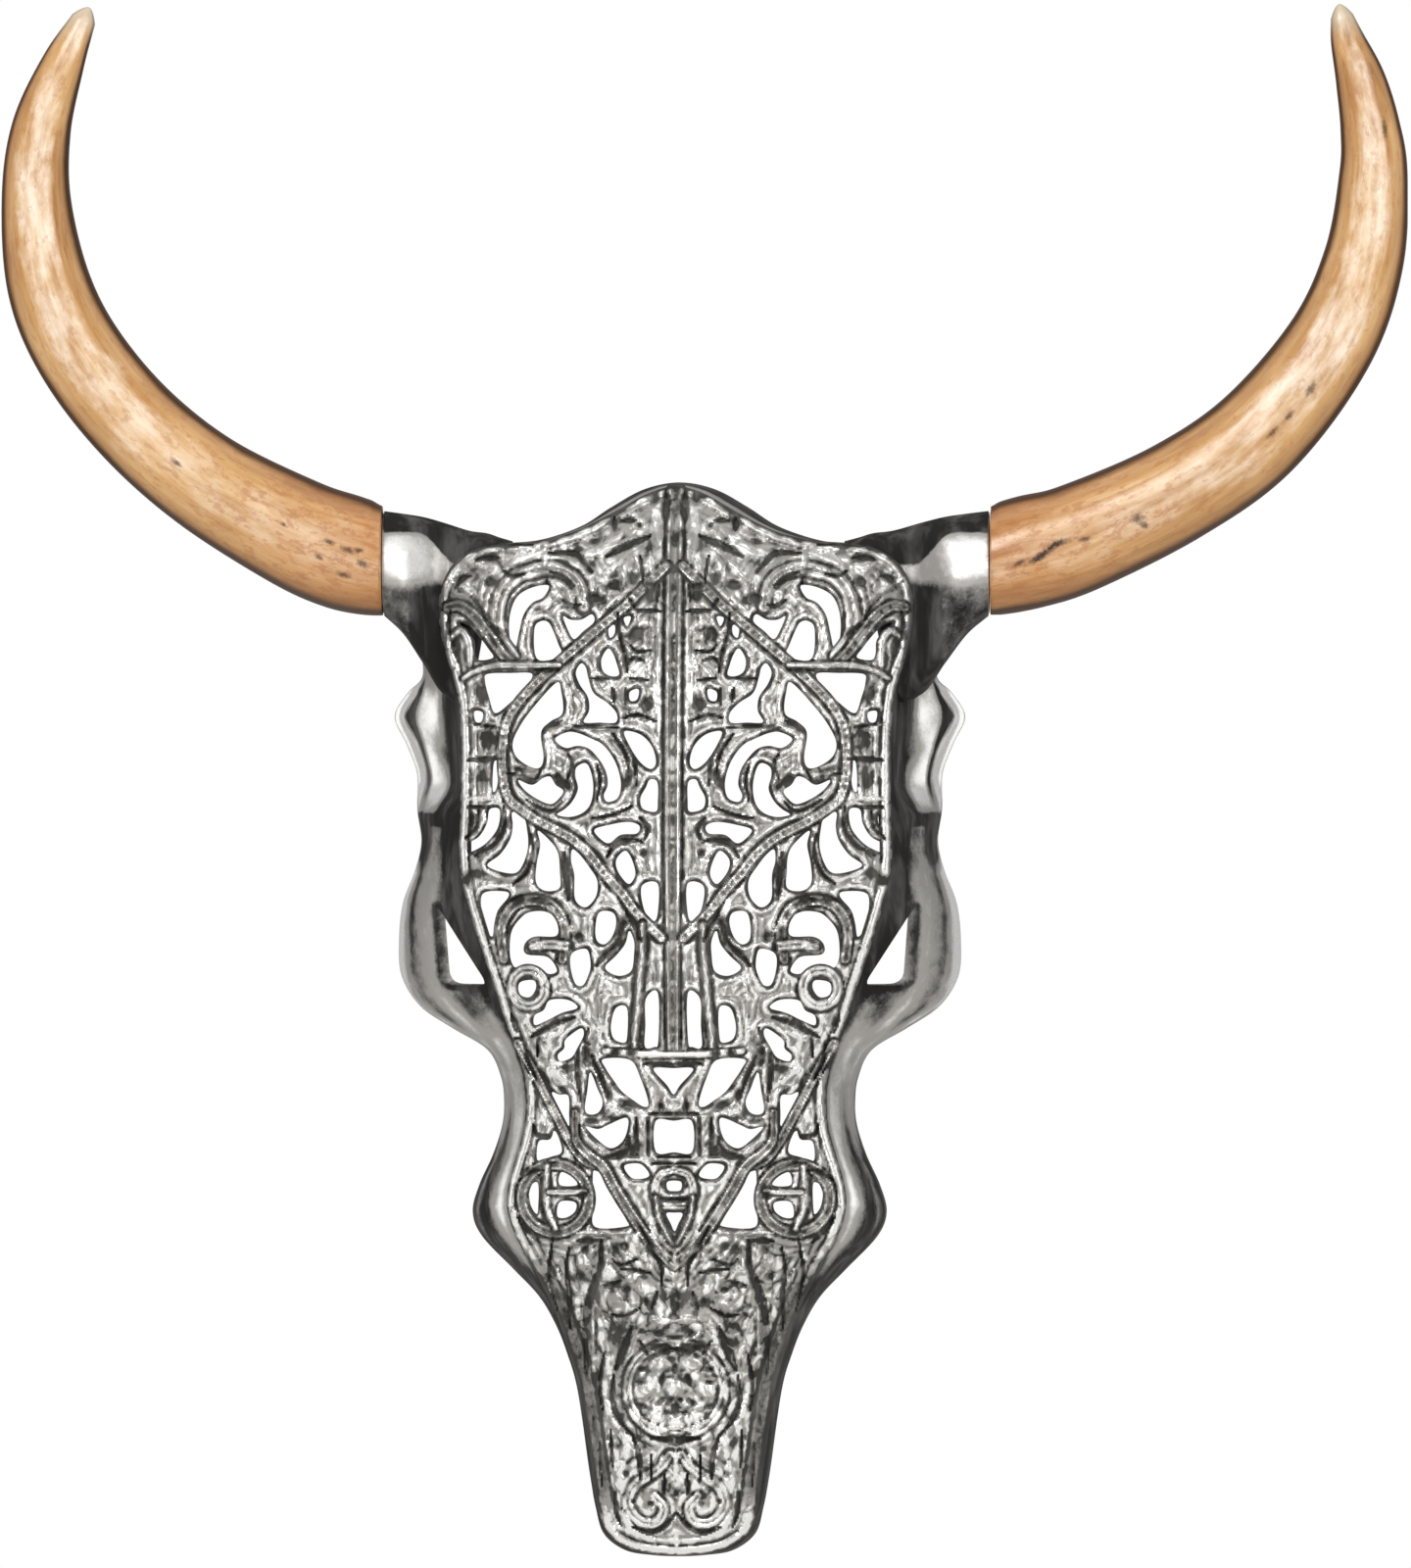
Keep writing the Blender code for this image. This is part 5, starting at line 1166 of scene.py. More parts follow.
def new_material(name: str) -> tuple[bpy.types.Material, Board, bpy.types.Node]:
    """Makes an empty material.

    Args:
        name: The finish's name.

    Returns:
        The material, its board and its Principled shader.
    """
    material = bpy.data.materials.new(name)
    material.use_nodes = True
    return material, Board(material.node_tree), material.node_tree.nodes["Principled BSDF"]


@dataclass(frozen=True)
class CastAluminium:
    """Cast aluminium, black in its hollows and at its edges by patina and painted shade, and bright on its
    crests by wear and painted highlights.
    """

    name: str
    carved: float
    metallic: float
    black: Place
    bright: Place = (0.88, 0.87, 0.85, 1)
    worn: Place = (0.36, 0.345, 0.325, 1)
    grit: float = 0.42
    leaf: float = 200.0
    leaf_shape: Place = (1, 0.4, 0.8)
    leaf_bend: float = 0.008
    leaf_middle: float = 0.55
    skin_middle: float = 0.7
    specular: float = 0.08

    def material(self) -> bpy.types.Material:
        """Mixes black, worn and bright metal by the relief attribute, which holds wear and patina together
        with painted light and shade, broken up by cells and noise.

        Returns:
            The finish.
        """
        material, board, shader = new_material(self.name)
        place = board.place()
        cloud = board.noise(place, scale=160, detail=4, rough=0.6)
        fine = board.noise(place, scale=900, detail=3, rough=0.6)
        rough = board.noise(place, scale=420, detail=4, rough=0.65)
        bend = board.noise(place, scale=170, detail=2, output="Color")
        curled = board.node("ShaderNodeVectorMath", {"operation": 'MULTIPLY_ADD'},
                            {0: bend, 1: (self.leaf_bend,) * 3, 2: place})
        curled = board.stretched(curled, self.leaf_shape)
        cells = board.node("ShaderNodeTexVoronoi", {"feature": 'DISTANCE_TO_EDGE'},
                           {"Vector": curled, "Scale": self.leaf}, "Distance")
        leaf = board.step(cells, 0.0, 0.3)
        carved = self.carved * board.stored("carving")
        skin = self.grit * (cloud + 0.4 * fine - self.skin_middle)
        worn_and_lit = board.stored("relief") + carved * (leaf - self.leaf_middle) + skin
        opened = board.step(worn_and_lit, 0.06, 0.4)
        polished_and_lit = board.step(worn_and_lit, 0.44, 0.8)
        smeared = board.noise(place, scale=110, detail=3, rough=0.6, bend=0.4, along=0.3)
        # Black patina mixed with painted shade, mottled by a smeared noise
        hollow = board.blend(board.step(smeared, 0.4, 0.75, 0.0, 0.2), self.black, self.worn)
        colour = board.blend(polished_and_lit, board.blend(opened, hollow, self.worn), self.bright)
        board.coat(shader, Base_Color=colour, Metallic=self.metallic * opened,
                   Roughness=0.62 - 0.18 * opened - 0.2 * polished_and_lit + 0.14 * (cloud - 0.5),
                   Specular_IOR_Level=self.specular, Normal=board.bump(0.5, 0.5 * rough + carved * leaf))
        return material


@dataclass(frozen=True)
class VarnishedWood:
    """Pale varnished wood with long streaks, knots, darker, redder grain near the socket, a painted
    highlight down its front and painted shade at its edges.
    """

    pale: Place = (0.57, 0.345, 0.15, 1)
    tan: Place = (0.42, 0.22, 0.08, 1)
    brown: Place = (0.24, 0.1, 0.032, 1)
    dark: Place = (0.045, 0.02, 0.009, 1)
    russet: Place = (0.34, 0.135, 0.05, 1)
    root: Place = (0.38, 0.12, 0.035, 1)
    highlight_cream: Place = (0.84, 0.73, 0.6, 1)
    bleached: Place = (0.5, 0.44, 0.34, 1)
    specular: float = 0.08
    varnish_rough: float = 0.22
    knots: tuple[Place, ...] = (
        (0.1325, -0.0090, 0.0042, 0.0013, 35), (0.1365, -0.0065, 0.0050, 0.0014, 40),
        (0.1410, -0.0035, 0.0045, 0.0013, 20), (0.1500, -0.0020, 0.0022, 0.0012, 10),
        (0.1695, 0.0055, 0.0026, 0.0018, 20), (0.1720, 0.0030, 0.0016, 0.0012, 0),
        (0.2190, 0.0370, 0.0030, 0.0009, 45), (0.2250, 0.0430, 0.0026, 0.0010, 50),
        (0.2330, 0.0530, 0.0030, 0.0014, 60), (0.2600, 0.1480, 0.0040, 0.0010, 95),
        (-0.1150, -0.0110, 0.0024, 0.0013, -30), (-0.1200, -0.0060, 0.0030, 0.0011, -20),
        (-0.1270, -0.0030, 0.0020, 0.0010, -30), (-0.1220, -0.0150, 0.0030, 0.0010, -20),
        (-0.1830, 0.0260, 0.0022, 0.0009, -40), (-0.1162, -0.0060, 0.0016, 0.0009, -10),
        (-0.1310, -0.0085, 0.0018, 0.0009, -35), (-0.1440, 0.0035, 0.0016, 0.0008, -35),
        (0.1262, -0.0108, 0.0026, 0.0010, 30),
    )

    def marks(self, board: Board, place: Wire) -> Wire:
        """Draws the knots by their oval distance in the flat (x, z), with a noisy edge.

        Args:
            board: The material's board.
            place: The place on the object.

        Returns:
            1 on a knot and 0 off it.
        """
        spoiled = board.noise(place, scale=900, detail=2)
        total: Value = 0.0
        for x, z, half_length, half_width, turn in self.knots:
            flat = board.node("ShaderNodeMapping", {"vector_type": 'TEXTURE'}, {
                "Vector": place, "Location": (x, 0, z), "Rotation": (0, -math.radians(turn), 0),
                "Scale": (half_length, 1, half_width)})
            away = board.node("ShaderNodeVectorMath", {"operation": 'LENGTH'}, {0: flat}, "Value")
            total = board.step(away + 1.2 * (spoiled - 0.5), 1.5, 0.2, 0.0, 0.8) + total
        return total

    def material(self) -> bpy.types.Material:
        """Colours the wood by noise drawn out along the grain, layer over layer, with painted light and
        shade by how far it faces the front.

        Returns:
            The finish.
        """
        material, board, shader = new_material("varnished_wood")
        grain, facing, place = board.stored("grain", "Vector"), board.stored("relief"), board.place()
        travelled, height = board.part(grain, "Z"), board.part(place, "Z")
        blotches = board.noise(grain, scale=120, detail=4, rough=0.65, along=0.45)
        streaks = board.noise(grain, scale=260, detail=5, rough=0.62, bend=0.4, along=0.07)
        bands = board.noise(grain, scale=55, detail=3, bend=0.6, along=0.25)
        flecks = board.noise(grain, scale=700, detail=2, along=0.2)
        mottled = board.noise(grain, scale=330, detail=4, rough=0.72, along=0.5)
        rooted = board.step(travelled, 0.0, 0.13, 1.0, 0.0)
        # A painted highlight: cream down the middle of the front, weaker near the socket
        highlight_reach = board.step(travelled, 0.01, 0.16, 0.3, 0.88)
        painted_highlight = board.step(facing + 0.75 * (blotches - 0.5) + 0.3 * (streaks - 0.5), 0.8, 1.22)
        specks = board.step(mottled + 0.05 * rooted, 0.53, 0.64) * (0.34 + 0.24 * rooted)
        stops = ((0.3, self.brown), (0.43, self.tan), (0.62, self.pale))
        layers = (
            (board.step(flecks, 0.66, 0.78) * 0.5, self.brown),
            (board.step(travelled, 0.0, 0.07, 0.3, 0.0), self.root),
            (painted_highlight * highlight_reach, self.highlight_cream),
            (specks, self.russet),
            # Painted shade: brown, then near black, where the horn turns away from the front
            (board.step(facing + 0.5 * (bands - 0.5), 0.85, 0.4, 0.0, 0.6), self.brown),
            (board.step(facing + 0.16 * (blotches - 0.5), 0.6, 0.36, 0.0, 0.95), self.dark),
            (self.marks(board, place), self.dark),
            (board.step(height, 0.178, 0.193, 0.0, 0.75), self.bleached))
        colour = board.node("ShaderNodeValToRGB", {"stops": stops}, {"Fac": 0.55 * streaks + 0.45 * bands})
        for factor, layer in layers:
            colour = board.blend(factor, colour, layer)
        board.coat(shader, Base_Color=colour, Roughness=0.34 + 0.2 * (bands - 0.5),
                   Specular_IOR_Level=self.specular, Coat_Weight=board.step(facing, 0.3, 0.8, 0.0, 0.6),
                   Coat_Roughness=self.varnish_rough, Normal=board.bump(0.12, streaks))
        return material


@dataclass(frozen=True)
class PlainSteel:
    """Plated steel of the screws and the hanger plate, finely brushed."""

    name: str
    colour: Place
    roughness: float
    darker: float = 0.6

    def material(self) -> bpy.types.Material:
        """Mixes two greys by noise and varies the roughness along brush lines.

        Returns:
            The finish.
        """
        material, board, shader = new_material(self.name)
        place = board.place()
        brushed = board.noise(place, scale=900, detail=3, along=0.1)
        cloud = board.noise(place, scale=90, detail=3)
        dull = tuple(self.darker * part for part in self.colour)
        board.coat(shader, Base_Color=board.blend(cloud, (*dull, 1), (*self.colour, 1)), Metallic=1.0,
                   Roughness=self.roughness + 0.2 * (brushed - 0.5))
        return material


def dress(piece: bpy.types.Object, material: bpy.types.Material, slot: str, *nodes: str) -> None:
    """Gives a piece its finish and its body, and hides the nodes that it stands for.

    Args:
        piece: The piece.
        material: Its finish.
        slot: Not used.
        nodes: Names of the nodes that it replaces.
    """
    piece.data.materials.append(material)
    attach(piece, BODY)
    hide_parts(*nodes)
    logging.info("%s: %d vertices", piece.name, len(piece.data.vertices))


@dataclass
class Openwork:
    """The carved front of the casting."""

    relief: Relief
    bands: tuple[tuple[str, float, float, float], ...] = (
        ("crown_openwork", 18, -76, 0.6), ("forehead_openwork", -76, -160, 0.6),
        ("muzzle_openwork", -160, -257, 0.6), ("nose_relief", -257, -376, 0.6))
    half_breadth: float = 90.0
    highest: float = 99.0
    back_round: float = 0.9
    back_reach: float = 1.2
    back_tone: float = 0.3

    def band(self, top: float, bottom: float, pitch: float) -> Surface:
        """Lays a grid over a band: the left half is measured, and mirrored to the right.

        Args:
            top: Upper height.
            bottom: Lower height.
            pitch: Distance between grid lines.

        Returns:
            The band as a closed plate with openings.
        """
        left = np.arange(-math.ceil(self.half_breadth / pitch), 1) * pitch
        levels = np.linspace(bottom, top, round((top - bottom) / pitch) + 1)
        x, z = np.meshgrid(left, levels, indexing="ij")
        measured = self.relief.measure(np.column_stack([x.ravel(), z.ravel()]))

        def mirrored(values: Array) -> Array:
            """Adds the mirror image of a half grid, without its middle line."""
            half = values.reshape(x.shape)
            return np.vstack([half, half[-2::-1]])

        gap, height, shade, carving, z = (mirrored(values) for values in (*measured, z))
        x = np.vstack([x, -x[-2::-1]])
        depth = face_depth(x, z)
        top_depth = np.minimum(depth - self.relief.valley + height, self.highest)
        near_edge = np.clip(1 + gap / self.back_reach, 0, 1)
        back_depth = depth - SHELL + self.back_round * (1 - np.sqrt(1 - near_edge**2))
        front, back = np.dstack([x, -top_depth, z]), np.dstack([x, -back_depth, z])
        return open_slab(gap / pitch, front, back, shade, self.back_tone, carving=carving)

    def build(self, material: bpy.types.Material) -> None:
        """Makes and dresses every band."""
        for name, top, bottom, pitch in self.bands:
            dress(self.band(top, bottom, pitch).build(name), material, *CASTING)


@dataclass
class SideWall:
    """The wall from under the border to the back rim, with the brims and eye openings."""

    per_span: int = 11
    levels: int = 44
    top_drop: float = 3.4
    top_inset: float = 0.6
    brim_fade: float = 7.0
    bead: Line = (0.9, 0.93, 0.05)
    bead_plain: Span = (0.3, 0.7)
    bead_start: float = 30.0
    # Painted light and shade on the wall: a highlight band and a shade line along the brims, and shade round
    # the eye openings, each as (height, middle, spread)
    brim_lines: tuple[Line, ...] = ((0.5, 0.8, 0.07), (-0.9, 0.62, 0.045))
    orbit_line: Line = (-0.3, 0, 1.2)
    farthest: float = 20.0
    inner_tone: float = 0.3

    def surfaces(self) -> tuple[Array, Array, Array]:
        """Works out the wall's outer and inner surface.

        Down each column of the ring it is the curve through top, two section points and rim, with a bead.

        Returns:
            Outer and inner places, shape (columns, levels, 3), and the brightness of the outer one, mostly
            painted light and shade.
        """
        open_rings = [curve_through(ring, self.per_span, closed=True) for ring in outline_rings()]
        edge, rim = (closed_up(ring) for ring in open_rings)
        edge_in, rim_in = (closed_up(ring_normals(ring)) for ring in open_rings)
        z = edge[:, 1]
        depth = face_depth(edge[:, 0], z)
        brim = smooth_step(z, BRIM_BOTTOM - self.brim_fade, BRIM_BOTTOM + self.brim_fade) * (
            1 - smooth_step(z, BRIM_TOP - self.brim_fade, BRIM_TOP + self.brim_fade))
        rows = [np.column_stack([edge + edge_in * self.top_inset, depth - self.top_drop])]
        for (way, level), (brim_way, brim_level) in zip(BOWED_SECTION, BRIM_SECTION):
            ways = (way + (brim_way - way) * brim)[:, None]
            levels = level + (brim_level - level) * brim
            rows.append(np.column_stack([edge + (rim - edge) * ways, depth * levels]))
        rows.append(np.column_stack([rim, np.zeros(len(rim))]))
        inner = [row + np.column_stack([normal * WALL, np.zeros(len(row))])
                 for row, normal in zip(rows, (edge_in, edge_in, rim_in, rim_in))]
        across = np.linspace(0, 1, self.levels)
        outer_grid, inner_grid = (self.down(np.stack(part, axis=1), across) for part in (rows, inner))
        bead = laid(across, self.bead)[None, :, None] * np.column_stack([rim_in, 0 * depth])[:, None, :]
        plain, more = self.bead_plain
        ended = smooth_step(z, NOSE_TURN, NOSE_TURN + self.bead_start)
        outer_grid -= bead * ((plain + more * brim) * ended)[:, None, None]
        table = np.array(WALL_LIGHT_AND_SHADE[::-1], dtype=float)
        by_height = np.array([np.interp(z, table[:, 0], column / 10) for column in table[:, 1:].T])
        by_way = np.array([np.interp(across, WALL_WAYS, unit) for unit in np.eye(len(WALL_WAYS))])
        # A painted highlight band and a painted shade line along the brims
        light, dark = (laid(across, line) for line in self.brim_lines)
        tones = by_height.T @ by_way + brim[:, None] * (light + dark)
        return self.placed(outer_grid), self.placed(inner_grid), tones

    @staticmethod
    def down(rows: Array, across: Array, steps: int = 24) -> Array:
        """Reads the smooth curve down each column.

        Args:
            rows: Places on the curves, shape (columns, places, parts).
            across: Share of the way down at each level.
            steps: Steps between two places.

        Returns:
            The places at each level.
        """
        columns, count, parts = rows.shape
        flat = rows.transpose(1, 0, 2).reshape(count, -1)
        curve = curve_through(flat, steps).reshape(-1, columns, parts)
        place = across * (len(curve) - 1)
        low = np.minimum(place.astype(int), len(curve) - 2)
        share = (place - low)[:, None, None]
        return ((1 - share) * curve[low] + share * curve[low + 1]).transpose(1, 0, 2)

    @staticmethod
    def placed(grid: Array) -> Array:
        """Turns (x, z, depth) into places (x, y, z), none behind the wall plane."""
        return np.dstack([grid[:, :, 0], -np.maximum(grid[:, :, 2], 0), grid[:, :, 1]])

    def build(self, material: bpy.types.Material, sockets: "Sockets") -> None:
        """Makes the wall with the eye openings, and cuts it where the sockets are hollow.

        Args:
            material: The casting's finish.
            sockets: The horn sockets.
        """
        outer, inner, shade = self.surfaces()
        flat = np.column_stack([-np.abs(outer[:, :, 0]).ravel(), outer[:, :, 2].ravel()])
        orbit = polygon_gap(rounded(ORBIT_CORNERS, ORBIT_ROUNDING), flat).reshape(shade.shape)
        step = np.linalg.norm(np.diff(outer, axis=0), axis=2).mean()
        gap = np.maximum(-orbit, -sockets.hollow_gap(outer))
        gap = np.clip(gap, -self.farthest, self.farthest) / step
        # Painted shade round the eye openings
        shade = shade + laid(orbit, self.orbit_line)
        surface = open_slab(gap, outer, inner, shade, self.inner_tone, closed=True)
        dress(surface.build("side_wall", 40), material, *CASTING)


def rounded(corners: tuple[Place, ...], radius: float) -> Array:
    """Rounds a polygon's corners by short arcs: b(t) = (1-t)^2 start + 2t(1-t) corner + t^2 end.

    Args:
        corners: The polygon's corners.
        radius: Distance from a corner to its arc's start and end.

    Returns:
        The points of all arcs, one row each.
    """
    count = len(corners)
    t = np.linspace(0, 1, 8)[:, None]
    parts = []
    for k in range(count):
        before, corner, after = (np.array(corners[(k + d) % count], dtype=float) for d in (-1, 0, 1))
        start = corner + (before - corner) * radius / np.linalg.norm(before - corner)
        end = corner + (after - corner) * radius / np.linalg.norm(after - corner)
        parts.append((1 - t)**2 * start + 2 * t * (1 - t) * corner + t**2 * end)
    return np.vstack(parts)


def oval_rings(x: Array, centre_z: Array, half_height: Array, half_depth: Array, sides: int) -> Array:
    """Gives upright ovals across X at the sockets' depth: centre + (half height sin a, half depth cos a).

    Args:
        x: Place of each ring across; centre_z is the height of its middle.
        half_height: Half its height; half_depth is half its depth.
        sides: Points in each ring.

    Returns:
        The rings, shape (rings, sides, 3).
    """
    angle = round_angles(sides)[None, :]
    x, centre_z, half_height, half_depth = (np.asarray(part, dtype=float)[:, None]
                                            for part in (x, centre_z, half_height, half_depth))
    depth = SOCKET_DEPTH + half_depth * np.cos(angle)
    return np.dstack([x + 0 * angle, -depth, centre_z + half_height * np.sin(angle)])


def hollow_section(share: Array) -> list[Array]:
    """Gives the hollow's middle height, half height and half depth: start + (end - start) share."""
    return [start + (end - start) * share for start, end in zip(*HOLLOW_SECTIONS)]


def under_border(rings: Array, drop: float) -> Array:
    """Lowers rings so that they pass under the face's border.

    The limit is the face's depth less the drop, and rises past the border. The softer lesser of depth and
    limit is (a + b - sqrt((a - b)^2 + 16)) / 2.

    Args:
        rings: Places on the positive side, shape (rings, sides, 3).
        drop: How far below the face they pass.

    Returns:
        Their new places in Y, shape (rings, sides).
    """
    x, depth = rings[:, :, 0], -rings[:, :, 1]
    past = (x - LIMIT_X + np.sqrt((x - LIMIT_X)**2 + LIMIT_SOFTNESS**2)) / 2
    limit = face_depth(np.minimum(x, FACE_X), rings[:, :, 2]) - drop + LIMIT_RISE * past
    return -(depth + limit - np.sqrt((depth - limit)**2 + MEET_SOFTNESS**2)) / 2


@dataclass
class Sockets:
    """The two trumpet sockets that take the horns, each with its bore, web and inner hollow."""

    sides: int = 96
    rim_round: float = 1.2
    bore_chamfer: float = 0.8
    skin_drop: float = 5.2
    bore_drop: float = 8.0
    hollow_drop: float = 9.0
    skin_tone: float = 0.66
    lining_tone: float = 0.3
    # Painted shade all over, on top, below and towards the skull; then the painted glint's strength, inward
    # distance from the joint, height and size
    painted_shade_tones: Place = (0.24, 0.9, 0.3, 0.5)
    glint: Place = (0.6, 8.0, -9.0, 8.0)
    top_line: Span = (-11.0, 11.5)
    top_rise: Span = (28.0, 13.0)
    top_blend: Span = (-1.5, 2.5)
    below_blend: Span = (14.0, 21.0)
    inner_span: Span = (92.0, 99.0)
    inner_below: Span = (16.0, 28.0)

    def hollow_gap(self, at: Array, farthest: float = 40.0) -> Array:
        """Measures places against the sockets' hollows, roughly.

        Args:
            at: Places, shape (rows, columns, 3).
            farthest: The greatest distance that is told.

        Returns:
            The distance, below zero inside a hollow.
        """
        distance = np.full(at.shape[:2], farthest)
        for side, joint in JOINTS.values():
            web_face = joint - TENON_LENGTH - GAP - WEB
            length = web_face - HOLLOW_END_X
            share = (web_face - side * at[:, :, 0]) / length
            centre, high, deep = hollow_section(share)
            oval = np.hypot((at[:, :, 2] - centre) / high, (-at[:, :, 1] - SOCKET_DEPTH) / deep)
            beyond = np.maximum(-share * length, (share - 1) * length)
            distance = np.minimum(distance, np.maximum((oval - 1) * deep, beyond))
        return distance

    def rings(self, side: int, joint: float) -> tuple[Array, Array]:
        """Works out a socket's rings: out along the trumpet, down the bore and back by the hollow.

        Args:
            side: -1 on the left, 1 on the right.
            joint: How far out the horn's joint is.

        Returns:
            The rings, shape (rings, sides, 3), and their brightness.
        """
        sections = curve_through(np.array(SOCKET_SECTIONS), 24)[::-1]
        share, *section = sections[sections[:, 0] < SOCKET_END].T
        outer = oval_rings(joint + (SOCKET_INNER_X - joint) * share, *section, self.sides)
        top_z, top_high, top_deep = SOCKET_SECTIONS[0][1:]
        turn = np.linspace(0, math.pi / 2, 5)[1:]
        inset = self.rim_round * (1 - np.cos(turn))
        rim = oval_rings(joint + self.rim_round * np.sin(turn) - self.rim_round, 0 * turn + top_z,
                         top_high - inset, top_deep - inset, self.sides)
        bottom = joint - TENON_LENGTH - GAP
        web = bottom - WEB
        hole = SCREW_RADIUS + GAP
        steps = ((joint, BORE_RADIUS + self.bore_chamfer), (joint - self.bore_chamfer, BORE_RADIUS),
                 (bottom, BORE_RADIUS), (bottom, hole), (web, hole))
        x, radius = np.array(steps).T
        bore = oval_rings(x, 0 * x + top_z, radius, radius, self.sides)
        t = np.linspace(0, (web - HOLLOW_INNER_X) / (web - HOLLOW_END_X), 4)
        hollow = oval_rings(web + (HOLLOW_END_X - web) * t, *hollow_section(t), self.sides)
        for part, drop in ((outer, self.skin_drop), (bore, self.bore_drop), (hollow, self.hollow_drop)):
            part[:, :, 1] = under_border(part, drop)
        rings = np.concatenate([outer[:-1], rim, bore, hollow])
        shade = self.tones(np.minimum(rings[:, :, 0], joint), rings[:, :, 2], joint, len(outer))
        shade[len(outer) - 1 + len(rim):] -= self.skin_tone - self.lining_tone
        rings[:, :, 0] = np.minimum(rings[:, :, 0], joint) * side
        return rings, shade

    def tones(self, across: Array, height: Array, joint: float, skin: int) -> Array:
        """Gives a socket's brightness as painted light and shade: a painted glint near the rim, painted
        shade on top, below and towards the skull.

        Args:
            across: Distance of each place from the middle plane; height is its height.
            joint: How far out the horn's joint is.
            skin: Number of rings that make the outside.

        Returns:
            The brightness, plain past the outside.
        """
        everywhere, on_top, below, inner = self.painted_shade_tones
        strength, inwards, level, size = self.glint
        glint = np.exp(-((across - joint + inwards) / size)**2 - ((height - level) / size)**2)
        start, rise = self.top_line
        rim_way, skull_way = self.top_rise
        line = height - start - rise * smooth_step(across, joint - rim_way, joint - skull_way)
        top = smooth_step(line, *self.top_blend)
        shown = (np.arange(len(across)) < skin)[:, None]
        shade = self.skin_tone + shown * (strength * glint - everywhere - on_top * top
                                          - below * smooth_step(-height, *self.below_blend))
        near, far = self.inner_span
        inner_shade = inner * smooth_step(-across, -far, -near) * smooth_step(-height, *self.inner_below)
        return shade - shown * inner_shade

    def build(self, material: bpy.types.Material) -> None:
        """Makes and dresses both sockets.

        Args:
            material: The casting's finish.
        """
        for name, (side, joint) in JOINTS.items():
            surface = skinned_rings(*self.rings(side, joint), closed=True)
            dress(surface.build(f"horn_socket_{name}", 40), material, *CASTING)


